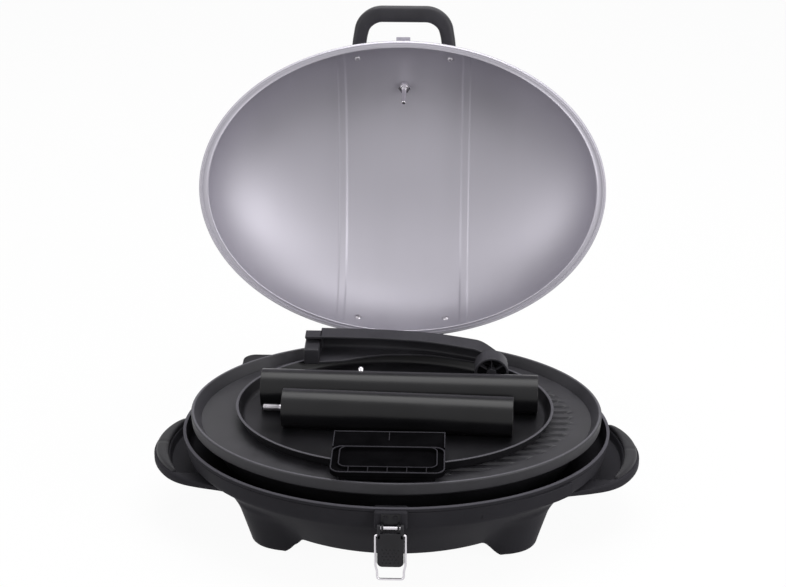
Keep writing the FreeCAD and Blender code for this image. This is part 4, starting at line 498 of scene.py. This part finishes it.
def ear_rows(side):
    """An ear: out of the wall along its top, round its edge and back underneath, with the finger recess sunk.

    Its outline is an oval about EAR_X that runs into the wall with a fillet.
    """
    turn = np.linspace(-EAR_TURN, EAR_TURN, 150)
    square = (np.cos(turn) / EAR_A) ** 2 + (np.sin(turn) / EAR_B) ** 2
    middle = EAR_X * np.cos(turn) / EAR_A ** 2
    inner = np.maximum(middle ** 2 - square * ((EAR_X / EAR_A) ** 2 - 1), 0)
    oval = (middle + np.sqrt(inner)) / square

    def rim(height):
        """The ear's edge at a height: the farther of its oval and the wall."""
        return smooth_larger(oval, wall_reach(turn, height) - 1, EAR_FILLET)

    along = np.linspace(0, 1, 80)
    bend = np.linspace(0, np.pi / 2, 8)
    rise = np.clip((np.abs(turn) - RISE_START) / RISE_RUN, 0, 1)
    low = EAR_LOW + RISE * rise * rise * (3 - 2 * rise)
    rounding = EAR_ROUND * np.clip((rim(EAR_TOP) - wall_reach(turn, EAR_TOP)) / 20, 0.05, 1)[:, None]
    top_edge, low_edge = rim(EAR_TOP)[:, None], rim(low)[:, None]
    top_root, low_root = wall_reach(turn, EAR_TOP)[:, None] - 2, wall_reach(turn, low)[:, None] - 2
    reach = np.concatenate([
        top_root + (top_edge - rounding - top_root) * along,
        top_edge - rounding * (1 - np.sin(bend)),
        low_edge - rounding * (1 - np.cos(bend)),
        low_root + 0 * rounding,
    ], 1)
    height = np.concatenate([
        EAR_TOP + 0 * rounding * along,
        EAR_TOP - rounding * (1 - np.cos(bend)),
        low[:, None] + rounding * (1 - np.sin(bend)),
        low[:, None] + 0 * rounding,
    ], 1)
    x, y = reach * np.cos(turn)[:, None], reach * np.sin(turn)[:, None]
    off_wall = reach - top_root - 3
    inside = np.minimum(np.minimum(RECESS_R - np.hypot(x - RECESS_X, y), RECESS_HALF - np.abs(y)), off_wall)
    sink = np.clip(inside / 3, 0, 1)
    height = np.where(height > EAR_TOP - 0.01, height - RECESS_DEPTH * sink * sink * (3 - 2 * sink), height)
    return np.stack([side * x, y, height], 2)


def ledge_rows():
    """A raised strip along the front right of the band, on an oval that grows steadily from left to right."""
    x = np.linspace(LEDGE_START, LEDGE_END, 70)
    proud = 1 + LEDGE_GROWS * np.clip((x - LEDGE_START) / LEDGE_RAMP, 0, 1)
    turn = np.arccos(x / (LEDGE_A * proud))
    path = np.column_stack([x, -LEDGE_B * proud * np.sin(turn), 0 * x + LEDGE_Z])
    across = np.column_stack([np.cos(turn) / LEDGE_A, -np.sin(turn) / LEDGE_B, 0 * x])
    across /= np.linalg.norm(across, axis=1, keepdims=True)
    up = np.broadcast_to([0, 0, 1.0], path.shape)
    section = soften([(-8, -9), (0, -9), (0, 8), (-8, 8)], 1.2, closed=True)
    return capped(sweep(path, across, up, section))


make("base_tub", [
    tub_rows(), capped(ear_rows(1)), capped(ear_rows(-1)), ledge_rows(),
    rounded_block((-19, -203, 88), (19, -185, 110), 2),
    rounded_block((-85, 186, 86), (85, 203, 110), 3),
], "base", "base_moulding", ["base_shell"], sharp=50)


def grip_rows(side):
    """A crescent grip between the recess arc and the ear's edge.

    Across it the crown is (1 - |2u - 1|^3)^(1/3), and it falls off towards the two ends.
    """
    y = GRIP_HALF * np.sin(np.linspace(-np.pi / 2, np.pi / 2, 80))
    near = RECESS_X + np.sqrt(RECESS_R ** 2 - y ** 2) + 0.6
    far = EAR_X + GRIP_A * np.sqrt(1 - (y / GRIP_B) ** 2)
    u = (1 - np.cos(np.linspace(0, np.pi, 24))) / 2
    crown = (1 - np.abs(2 * u - 1) ** 3) ** (1 / 3)
    ends = (1 - np.abs(y / GRIP_HALF) ** 8) ** (1 / 3)
    crease = 1 - 0.25 * np.exp(-(y / 1.2) ** 2)
    x = near[:, None] + (far - near)[:, None] * u
    z = GRIP_SEAT + GRIP_RISE * (ends * crease)[:, None] * crown
    top = np.stack([side * x, y[:, None] + 0 * x, z], 2)
    under = top[:, ::-1].copy()
    under[..., 2] = GRIP_LOW
    return capped(np.concatenate([top, under], 1))


make("right_grip_pad", [grip_rows(1)], "base", "black_grip", ["right_grip"])
make("left_grip_pad", [grip_rows(-1)], "base", "black_grip", ["left_grip"])


# Grill plate

PLATE_FLOOR, PLATE_UNDER = 126, 119
PLATE_A, PLATE_B = 240.6, 176
GROOVE_PITCH, GROOVE_REACH, GROOVE_DEPTH = 14.5, 10, 3
GROOVED_A, GROOVED_B, GROOVED_START = 216, 151, 8
GROOVE_HALF, GROOVE_SLOPE, GROOVE_END = 4.6, 2.4, 4
GROOVED_MEAN = 190
FLOOR_EDGE = 175.4


def plate_rim_rows():
    """The plate's rim as ovals: up the skirt, over the rounded rim, down to the floor and back beneath."""
    loop = [(251, 186, 123.5), (252, 187, 136.6), (250.4, 185.4, 138), (248.2, 183.2, 138), (239, 174, 125.5),
            (239, 174, 121), (246, 181, 123.5)]
    return oval_rows(soften(loop, [1, 1.2, 0.8, 1.6, 4, 1, 1], closed=True), 220)


def plate_floor_rows():
    """The floor as straight lines along X; on the right it sinks where y is within a groove."""
    middle = np.arange(-GROOVE_REACH, GROOVE_REACH + 1) * GROOVE_PITCH
    offsets = np.array([-5.4, -4.6, -4.0, -3.2, -2.2, -1.0, 1.0, 2.2, 3.2, 4.0, 4.6, 5.4])
    beyond = np.linspace(GROOVED_B, PLATE_B, 14)
    y = np.concatenate([(middle[:, None] + offsets).ravel(), -beyond, beyond])
    y = np.unique(np.clip(y, -FLOOR_EDGE, FLOOR_EDGE))
    u = np.linspace(-1, 1, 130)
    x = PLATE_A * np.sqrt(1 - (y / PLATE_B) ** 2)[:, None] * u
    yy = y[:, None] + 0 * x
    off_groove = np.abs((yy + GROOVE_PITCH / 2) % GROOVE_PITCH - GROOVE_PITCH / 2)
    sunk = np.clip((GROOVE_HALF - off_groove) / GROOVE_SLOPE, 0, 1)
    sunk = sunk * sunk * (3 - 2 * sunk)
    from_edge = (1 - np.hypot(x / GROOVED_A, yy / GROOVED_B)) * GROOVED_MEAN
    end = np.minimum(x - GROOVED_START, from_edge)
    depth = GROOVE_DEPTH * sunk * np.clip(end / GROOVE_END, 0, 1) * (np.abs(yy) < GROOVED_B)
    top = np.stack([x, yy, PLATE_FLOOR - depth], 2)
    under = np.stack([x, yy, 0 * x + PLATE_UNDER], 2)[:, ::-1]
    return capped(np.concatenate([top, under], 1))


make("plate_rim", [plate_rim_rows()], "grill_plate", "plate_top", ring=True)
make("plate_floor", [plate_floor_rows()], "grill_plate", "plate_top", ["grill_plate"])


# Stand pieces packed on the plate, each lying at a turn in degrees and an x, y and z

PAN_LIES = (-1.3, -2, 0, 126.3)
LONG_TUBE_LIES = (-1.35, 3.5, 15, 152.1)
SHORT_TUBE_LIES = (-3, 3, -40, 152.1)
LONG_TUBE, SHORT_TUBE = 340, 278.5
TUBE_OUTER, TUBE_INNER = 24, 22.5


def pan_rows():
    """The pan as ovals round its middle hole, turned a little as it lies on the plate."""
    loop = [(4.5, 4.5, 0), (188, 142, 0), (193, 147, 14.2), (195, 149, 14.2), (195, 149, 15.7),
            (191.5, 145.5, 15.7), (186.5, 140.5, 1.5), (4.5, 4.5, 1.5)]
    rows = oval_rows(soften(loop, [0.3, 5, 0.8, 0.7, 0.7, 1.2, 5, 0.3], closed=True), 200)
    return laid(rows, *PAN_LIES)


def laid(points, turn, x, y, z):
    """Turn points about Z by degrees, then move them."""
    cos, sin = math.cos(math.radians(turn)), math.sin(math.radians(turn))
    return np.stack([
        points[..., 0] * cos - points[..., 1] * sin + x,
        points[..., 0] * sin + points[..., 1] * cos + y,
        points[..., 2] + z,
    ], -1)


def along_x(points):
    """Swap a shape built about Z to lie about X."""
    return points[..., [2, 0, 1]]


def tube_rows(length):
    """A tube: its wall section, rounded at both ends, turned about X."""
    half = length / 2
    wall = [(TUBE_OUTER, -half), (TUBE_OUTER, half), (TUBE_INNER, half), (TUBE_INNER, -half)]
    return along_x(round_rows(soften(wall, 0.6, closed=True), 72))


make("pan_dish", [pan_rows()], "stand_pan", "pan_enamel", ["stand_pan"], ring=True)
make("long_tube_wall", [laid(tube_rows(LONG_TUBE), *LONG_TUBE_LIES)], "long_tube", "tube_paint",
     ["long_tube"], ring=True)
make("short_tube_wall", [laid(tube_rows(SHORT_TUBE), *SHORT_TUBE_LIES)], "short_tube", "tube_paint",
     ["short_tube"], ring=True)


def stud_rows():
    """The threaded stud: its radius follows a triangle wave along its free end, with a plain root."""
    run = np.linspace(0, 41, 280)
    thread = 0.45 * np.abs(((run / 1.25) % 1) * 2 - 1) * (run < 20)
    radius = np.minimum(4 - thread, 3 + run * 1.0)
    return along_x(capped(round_rows(np.column_stack([radius, -163.25 + run]), 28)))


make("stud_thread", [laid(stud_rows(), *SHORT_TUBE_LIES)], "short_tube", "zinc_steel", ["stand_stud"])


FOOT_Z, FOOT_TALL, FOOT_WALL = 142.3, 30, 3
FALL_START, FALL_RUN, FALL = 100, 38, 13
FLANGE, FLANGE_LOSS = 28, 12
HUB_PLACE = (118, 70, 149.6)


def foot_rows():
    """The foot's channel: a C section carried along the back curve and round towards the hub.

    The lower flange is deep at the left and narrows along its arch. The top falls where it meets the hub.
    """
    back = [(-101, 152.5), (-30, 151), (40, 143.5), (88, 128), (116, 117), (134, 106), (138.5, 90)]
    path = finer(soften(back, [0, 28, 28, 24, 14, 12, 0], steps=10), 3)
    ahead = np.gradient(path, axis=0)
    ahead /= np.linalg.norm(ahead, axis=1, keepdims=True)
    x = path[:, 0]
    end = np.clip((x - FALL_START) / FALL_RUN, 0, 1)
    top = FOOT_TALL - FALL * end * end * (3 - 2 * end)
    flange = FLANGE - FLANGE_LOSS * end
    low = np.interp(x, [-104, -72, -41, -15, 11, 45, 138], [47, 41, 27, 19, 15, 12, 10])
    wall = FOOT_WALL + 0 * x
    none = 0 * x
    section = np.stack([
        np.column_stack([-low, none]), np.column_stack([none, none]), np.column_stack([none, top]),
        np.column_stack([-flange, top]), np.column_stack([-flange, top - wall]),
        np.column_stack([-wall, top - wall]), np.column_stack([-wall, wall]), np.column_stack([-low, wall]),
    ], 1)
    rounding = [1.2, 2.5, 3, 1.2, 1.2, 3, 6, 1.2]
    shaped = np.stack([soften(station, rounding, closed=True) for station in section])
    flat = np.column_stack([path, FOOT_Z + none])
    across = np.column_stack([-ahead[:, 1], ahead[:, 0], none])
    up = np.broadcast_to([0, 0, 1.0], flat.shape)
    return capped(sweep(flat, across, up, shaped))


def along_y(points, x, y, z):
    """Lay a shape built about Z along Y, at a place."""
    return points[..., [0, 2, 1]] + np.array([x, y, z])


def hub_grids():
    """The hub: a cup turned about Y, a middle boss and three bars across for its six spokes."""
    cup = [(0, 26), (21.5, 26), (21.5, 0), (18.5, 0), (18.5, 14), (0, 14)]
    grids = [along_y(round_rows(soften(cup, [0, 2, 1.2, 1.2, 2, 0]), 56), *HUB_PLACE)]
    boss = soften([(0, 1.5), (6, 1.5), (6, 15), (0, 15)], [0, 1, 0.5, 0])
    grids.append(along_y(round_rows(boss, 28), *HUB_PLACE))
    bar = rounded_block((-19.5, 5, -0.8), (19.5, 15, 0.8), 0.5)
    for angle in np.radians([30, 90, 150]):
        cos, sin = math.cos(angle), math.sin(angle)
        across = bar[..., 0] * cos - bar[..., 2] * sin
        up = bar[..., 0] * sin + bar[..., 2] * cos
        grids.append(np.stack([across, bar[..., 1], up], 2) + np.array(HUB_PLACE))
    return grids


make("foot_channel", [
    foot_rows(),
    rounded_block((-121, 104, FOOT_Z), (-102, 140, 163.5), 2),
    rounded_block((-121, 124, 168.6), (-99, 143, 172.3), 1),
    rounded_block((-121, 136, 150), (-99, 143, 171), 1),
    rounded_block((98, 84, FOOT_Z), (137, 106, 163), 8, 6),
    *hub_grids(),
], "stand_foot", "foot_plastic", ["stand_foot"], sharp=45)


TRAY_X, TRAY_LOW, TRAY_RIM = -5, 142.3, 149.5
CUP_LIP, CUP_FLOOR, CHANNEL_FLOOR = 148.9, 143.8, 145
RIB_PITCH = 22.4


def tray_rows():
    """The tray as rounded rectangles: up the skirt, over the rim, along the channel and into the cup."""
    outer = (TRAY_X, -149.5, 66, 30.5, 12)
    cup = (TRAY_X, -142.75, 56, 22.25, 8)

    def grown(shape, by, z):
        """A rectangle let out all round, at a height."""
        return (*shape[:2], shape[2] + by, shape[3] + by, shape[4] + by, z)

    rows = [
        (*outer[:2], 0.1, 0.1, 0.05, TRAY_LOW), grown(outer, -1.5, TRAY_LOW), grown(outer, 0, TRAY_LOW),
        grown(outer, 0, TRAY_RIM), grown(outer, -1.5, TRAY_RIM), grown(outer, -1.5, CHANNEL_FLOOR),
        grown(cup, 2.2, CHANNEL_FLOOR), grown(cup, 1.5, CUP_LIP), grown(cup, 0, CUP_LIP),
        grown(cup, -0.6, CUP_FLOOR), (*cup[:2], 0.1, 0.1, 0.05, CUP_FLOOR),
    ]
    return rect_rows(soften(rows, [0, 0.3, 0.5, 0.6, 0.6, 1, 1, 0.6, 0.6, 1.5, 0], steps=4), 10)


make("drip_tray_shell", [
    tray_rows(),
    rounded_block((-71, -120, 146.4), (61, -83, 147.9), 0.7),
    rounded_block((-71, -84.3, 146.5), (61, -83, TRAY_RIM), 0.5),
    rounded_block((-71, -120, 146.5), (-69.8, -83, TRAY_RIM), 0.5),
    rounded_block((59.8, -120, 146.5), (61, -83, TRAY_RIM), 0.5),
    rounded_block((-5.6, -104, 146.5), (-4.6, -83, 149), 0.4),
    rounded_block((-60, -180, 138.4), (50, -178.3, 144), 0.8),
    *[rounded_block((middle - 0.7, -179, 143), (middle + 0.7, -166, 148.7), 0.5)
      for middle in TRAY_X + RIB_PITCH * np.arange(-2, 3)],
], "drip_tray", "tray_coating", ["drip_tray"])


# Latch

LEVER_Z, LEVER_BACK, LEVER_FACE = 65.25, 208.7, 212.2
LEVER_HALF, LEVER_TALL, LEVER_CORNER = 15.25, 22.25, 6
BAIL_Y = -209.1
DOT_PITCH, DOT_ROW, DOT_LOW, DOT_SEAT = 4.6, 4.4, 48.5, -212.1


def lever_grids():
    """The lever: a rounded plate with two blocks at its top that end in knuckles on the pin."""
    plate = rect_rows(soften([
        (0, LEVER_Z, 0.1, 0.1, 0.05, LEVER_BACK),
        (0, LEVER_Z, LEVER_HALF, LEVER_TALL, LEVER_CORNER, LEVER_BACK),
        (0, LEVER_Z, LEVER_HALF, LEVER_TALL, LEVER_CORNER, LEVER_FACE),
        (0, LEVER_Z, 0.1, 0.1, 0.05, LEVER_FACE),
    ], [0, 0.9, 0.9, 0]), 8)
    grids = [np.stack([plate[..., 0], -plate[..., 2], plate[..., 1]], 2)]
    for side in (-1, 1):
        low, high = sorted((side * 11.25, side * LEVER_HALF))
        knuckle = soften([(0, low), (4.2, low), (4.2, high), (0, high)], [0, 0.6, 0.6, 0])
        grids.append(along_x(round_rows(knuckle, 32)) + np.array([0, -208, 93]))
        grids.append(rounded_block((low, -LEVER_FACE, 80), (high, -206, 93), 0.8))
    return grids


make("lever_plate", lever_grids(), "latch_lever", "black_grip", ["latch_lever"])


def lever_dot_grids():
    """Low domed dots in staggered rows on the lower half of the lever's face."""
    dot = soften([(0, 0), (1.15, 0), (0.8, 0.5), (0, 0.6)], [0, 0.1, 0.3, 0], steps=3)
    button = round_rows(dot, 12)
    button = np.stack([button[..., 0], -button[..., 2], button[..., 1]], 2)
    grids = []
    for row in range(5):
        count = 5 - row % 2
        for n in range(count):
            across = (n - (count - 1) / 2) * DOT_PITCH
            grids.append(button + np.array([across, DOT_SEAT, DOT_LOW + row * DOT_ROW]))
    return grids


make("lever_grip_dots", lever_dot_grids(), "latch_lever", "rubber_pad")


def bail_rows():
    """The bail: a wire from one in-turned toe, down a leg, across the loop's foot and up to the other toe."""
    right = [(x, BAIL_Y, z) for x, z in ((12.3, 84), (17.3, 84), (17.3, 43), (15.4, 36), (15.4, 25))]
    left = [(-x, y, z) for x, y, z in reversed(right)]
    return wire(soften(right + left, [0, 1.6, 3, 3, 4, 4, 3, 3, 1.6, 0], steps=8), 1.4, 14)


make("bail_wire", [bail_rows()], "latch_bail", "bright_steel", ["latch_bail"])


# Handle and lid fittings

HANDLE_UP = 64.5
HANDLE_HALF, HANDLE_WIDENS, HANDLE_TALL = 9.2, 1.3, 9
BAR_START, BAR_RUN = -197.5, 25
HANDLE_SINK = 0.8
HANDLE_SCREW_X = 61
HINGE_SCREW_X = 59.5
HINGE_SCREW_UP = 37
HEAD_RADIUS, HEAD_HEIGHT, HEAD_SINK = 4.4, 2.4, 1.6


def dome_depth(x, height):
    """Distance in Y from the middle to the dome's outside at a height: dome_height solved for y."""
    narrow = (1 - (height / LID_H) ** CROWN_POWER) ** (1 / SIDE_POWER)
    return LID_B * narrow * np.sqrt(1 - (x / (LID_A * narrow)) ** 2)


def handle_rows():
    """The handle: a section of |cos s|^0.6 by |sin s|^0.6 along an arched path.

    It widens towards the bar, and its feet are cut to the dome's outside.
    """
    half = [(59, -127.5), (59, -185.5), (53.5, -212), (37.5, -224)]
    path = np.array(half + [(-x, y) for x, y in reversed(half)], float)
    path = finer(soften(path, [0, 22, 14, 12, 12, 14, 22, 0], steps=14), 3)
    ahead = np.gradient(path, axis=0)
    ahead /= np.linalg.norm(ahead, axis=1, keepdims=True)
    s = np.arange(40) / 40 * FULL_TURN
    square = np.sign(np.cos(s)) * np.abs(np.cos(s)) ** 0.6, np.sign(np.sin(s)) * np.abs(np.sin(s)) ** 0.6
    half_width = HANDLE_HALF + HANDLE_WIDENS * np.clip((BAR_START - path[:, 1]) / BAR_RUN, 0, 1)
    tall = 0 * half_width[:, None] + HANDLE_TALL * square[1]
    section = np.stack([half_width[:, None] * square[0], tall], 2)
    flat = np.column_stack([path, np.full(len(path), LID_Z + HANDLE_UP)])
    across = np.column_stack([ahead[:, 1], -ahead[:, 0], 0 * ahead[:, 0]])
    up = np.broadcast_to([0, 0, 1.0], flat.shape)
    rows = sweep(flat, across, up, section)
    outside = dome_depth(rows[..., 0], rows[..., 2] - LID_Z)
    rows[..., 1] = np.minimum(rows[..., 1], HANDLE_SINK - outside)
    return capped(rows)


make("handle_arch", [opened(handle_rows())], "lid", "handle_moulding", ["lid_handle"])


def screw_rows(radius, height):
    """A domed screw head: height (1 - (r/radius)^2.6) with a cross sunk into its middle."""
    r = radius * np.array([1, 1, 0.97, 0.9, 0.8, 0.68, 0.6, 0.5, 0.38, 0.25, 0.12, 0])
    z = height * np.concatenate([[0], 0.25 + 0.75 * (1 - (r[1:] / radius) ** 2.6)])
    rows = round_rows(np.column_stack([r, z]), 48)
    arm = np.minimum(np.abs(rows[..., 0]), np.abs(rows[..., 1])) < 0.16 * radius
    cross = arm & (np.hypot(rows[..., 0], rows[..., 1]) < 0.62 * radius)
    rows[..., 2] -= cross * 0.45 * height
    return rows


def placed(points, place, outward):
    """Set a shape built about Z at a place, with its Z along a direction."""
    outward = np.asarray(outward, float) / np.linalg.norm(outward)
    side = np.cross([1.0, 0, 0], outward)
    side = np.cross([0, 1.0, 0], outward) if np.linalg.norm(side) < 0.2 else side
    side /= np.linalg.norm(side)
    other = np.cross(side, outward)
    turned = points[..., :1] * side + points[..., 1:2] * other + points[..., 2:] * outward
    return turned + np.asarray(place, float)


def dome_direction(x, y):
    """Outward direction of the dome at a place, from its height's differences."""
    step = 0.5
    slope_x = (dome_height(x + step, y) - dome_height(x - step, y)) / (2 * step)
    slope_y = (dome_height(x, y + step) - dome_height(x, y - step)) / (2 * step)
    direction = np.array([-slope_x, -slope_y, 1.0])
    return direction / np.linalg.norm(direction)


def lid_screw_grids(x, height, front):
    """Two domed heads seated on the inside of the dome, either side of the middle."""
    y = front * dome_depth(x, height)
    grids = []
    for side in (-1, 1):
        outward = dome_direction(side * x, y)
        place = np.array([side * x, y, LID_Z + height]) - HEAD_SINK * outward
        grids.append(opened(placed(screw_rows(HEAD_RADIUS, HEAD_HEIGHT), place, -outward)))
    return grids


make("handle_screw_heads", lid_screw_grids(HANDLE_SCREW_X, HANDLE_UP, -1), "lid", "zinc_steel",
     ["handle_screws"])
make("hinge_screw_heads", lid_screw_grids(HINGE_SCREW_X, HINGE_SCREW_UP, 1), "lid", "zinc_steel",
     ["hinge_lid_screws"])


# Thermometer

THERMO_Y = -124
THERMO_DIRECTION = dome_direction(0, THERMO_Y)
THERMO_SEAT = np.array([0, THERMO_Y, LID_Z + dome_height(0, THERMO_Y)])


def seated(points):
    """Set a shape in the opened lid: its X stays, its Y runs up the slope and its Z is the dial's axis."""
    up_slope = np.cross(THERMO_DIRECTION, [1.0, 0, 0])
    turned = points[..., :1] * np.array([1.0, 0, 0]) + points[..., 1:2] * up_slope
    turned = turned + points[..., 2:] * THERMO_DIRECTION
    return opened(turned + THERMO_SEAT)


def case_rows():
    """The thermometer's case: a turned drum with a rolled bezel and a neck through the lid."""
    outline = [(1.2, -10), (6, -10), (6, 0.3), (24, 0.5), (26, 3), (26, 14.5), (23.6, 14.5), (23.6, 4),
               (1.2, 4)]
    return round_rows(soften(outline, [0, 0.5, 0.3, 1.5, 1.5, 1.4, 0.8, 0.3, 0]), 72)


def tick_grids():
    """Marks round the dial: a long one each 30 degrees over 270 and a short one between."""
    grids = []
    for n in range(19):
        angle = 225 - n * 15
        inner = 17.5 if n % 2 == 0 else 19.5
        bar = rounded_block((inner, -0.3, 5.0), (21.8, 0.3, 5.15), 0.05, 2)
        grids.append(seated(laid(bar, angle, 0, 0, 0)))
    return grids


make("thermometer_drum", [seated(case_rows())], "lid", "bright_steel", ["thermometer_case"])
make("dial_marks", tick_grids(), "lid", "dial_ink")


def stem_rows():
    """The probe: a slim rod with a rounded tip below a collar."""
    outline = [(0, -42), (3, -42), (3, -12), (4.2, -12), (4.2, -10), (0, -10)]
    return round_rows(soften(outline, [0, 2.5, 0.2, 0.4, 0.4, 0]), 32)


make("probe_rod", [seated(stem_rows())], "lid", "bright_steel", ["thermometer_stem"])


# Stage, light and camera

FLOOR_GLOW, FLOOR_AS_LIGHT, FLOOR_AS_SEEN = 0.95, 0.38, 0.95
WORLD_AS_LIGHT, WORLD_AS_SEEN = 0.22, 1.0
FLOOR_HALF = 6


def stage_material():
    """White to the camera and to mirrors, with part left to the lamps so that the shadow shows."""
    material = bpy.data.materials.new("pale floor")
    material.use_nodes = True
    tree = material.node_tree
    shader = tree.nodes["Principled BSDF"]
    shader.inputs["Roughness"].default_value = 0.8
    shader.inputs["Specular IOR Level"].default_value = 0.1
    glow = tree.nodes.new("ShaderNodeEmission")
    glow.inputs["Strength"].default_value = 1.0
    mix = tree.nodes.new("ShaderNodeMixShader")
    ray = tree.nodes.new("ShaderNodeLightPath")
    share = tree.nodes.new("ShaderNodeMath")
    share.operation = "MULTIPLY"
    share.inputs[1].default_value = FLOOR_GLOW
    seen = background_rays(tree, ray)
    tree.links.new(seen, share.inputs[0])
    tone = tree.nodes.new("ShaderNodeMapRange")
    tone.inputs["To Min"].default_value = FLOOR_AS_LIGHT
    tone.inputs["To Max"].default_value = FLOOR_AS_SEEN
    tree.links.new(seen, tone.inputs["Value"])
    tree.links.new(tone.outputs["Result"], shader.inputs["Base Color"])
    tree.links.new(share.outputs[0], mix.inputs["Fac"])
    tree.links.new(shader.outputs["BSDF"], mix.inputs[1])
    tree.links.new(glow.outputs["Emission"], mix.inputs[2])
    tree.links.new(mix.outputs["Shader"], tree.nodes["Material Output"].inputs["Surface"])
    return material


def background_rays(tree, ray):
    """One for rays from the camera, a mirror or glass."""
    total = None
    for kind in ("Is Camera Ray", "Is Glossy Ray", "Is Transmission Ray"):
        if total is None:
            total = ray.outputs[kind]
            continue
        larger = tree.nodes.new("ShaderNodeMath")
        larger.operation = "MAXIMUM"
        tree.links.new(total, larger.inputs[0])
        tree.links.new(ray.outputs[kind], larger.inputs[1])
        total = larger.outputs[0]
    return total


def white_world():
    """White where it is seen or mirrored, a plain grey as light."""
    world = bpy.data.worlds.new("studio")
    world.use_nodes = True
    scene.world = world
    tree = world.node_tree
    backdrop = tree.nodes["Background"]
    backdrop.inputs["Color"].default_value = (1, 1, 1, 1)
    ray = tree.nodes.new("ShaderNodeLightPath")
    strength = tree.nodes.new("ShaderNodeMapRange")
    strength.inputs["To Min"].default_value = WORLD_AS_LIGHT
    strength.inputs["To Max"].default_value = WORLD_AS_SEEN
    tree.links.new(background_rays(tree, ray), strength.inputs["Value"])
    tree.links.new(strength.outputs["Result"], backdrop.inputs["Strength"])


def softbox(name, place, aim, width, height, power):
    """An area lamp that faces a point; metres and watts."""
    lamp = bpy.data.lights.new(name, "AREA")
    lamp.shape = "RECTANGLE"
    lamp.size = width
    lamp.size_y = height
    lamp.energy = power
    holder = bpy.data.objects.new(name, lamp)
    holder.location = place
    holder.rotation_euler = (Vector(aim) - Vector(place)).to_track_quat("-Z", "Y").to_euler()
    scene.collection.objects.link(holder)


floor_mesh = bpy.data.meshes.new("floor")
floor_corners = [(x * FLOOR_HALF, y * FLOOR_HALF, 0) for x, y in ((-1, -1), (1, -1), (1, 1), (-1, 1))]
floor_mesh.from_pydata(floor_corners, [], [(0, 1, 2, 3)])
floor_mesh.materials.append(stage_material())
floor = bpy.data.objects.new("floor", floor_mesh)
scene.collection.objects.link(floor)

white_world()
softbox("overhead softbox", (0.2, 0.5, 2.2), (0, 0.05, 0.15), 2.4, 1.6, 43)
softbox("left softbox", (-1.8, -1.2, 1.0), (0, 0, 0.2), 1.0, 1.2, 12)
softbox("right softbox", (1.8, -1.2, 1.0), (0, 0, 0.2), 1.0, 1.2, 23)

target = Vector((-0.0038, -0.0001, 0.2912))
camera_data = bpy.data.cameras.new("photo camera")
camera_data.sensor_width = 36
camera_data.lens = 84.33
camera = bpy.data.objects.new("photo camera", camera_data)
camera.location = target + Vector((0.0646, -2.0004, 0.9134))
camera.rotation_euler = (target - camera.location).to_track_quat("-Z", "Y").to_euler()
scene.collection.objects.link(camera)
scene.camera = camera
scene.view_settings.view_transform = "Standard"
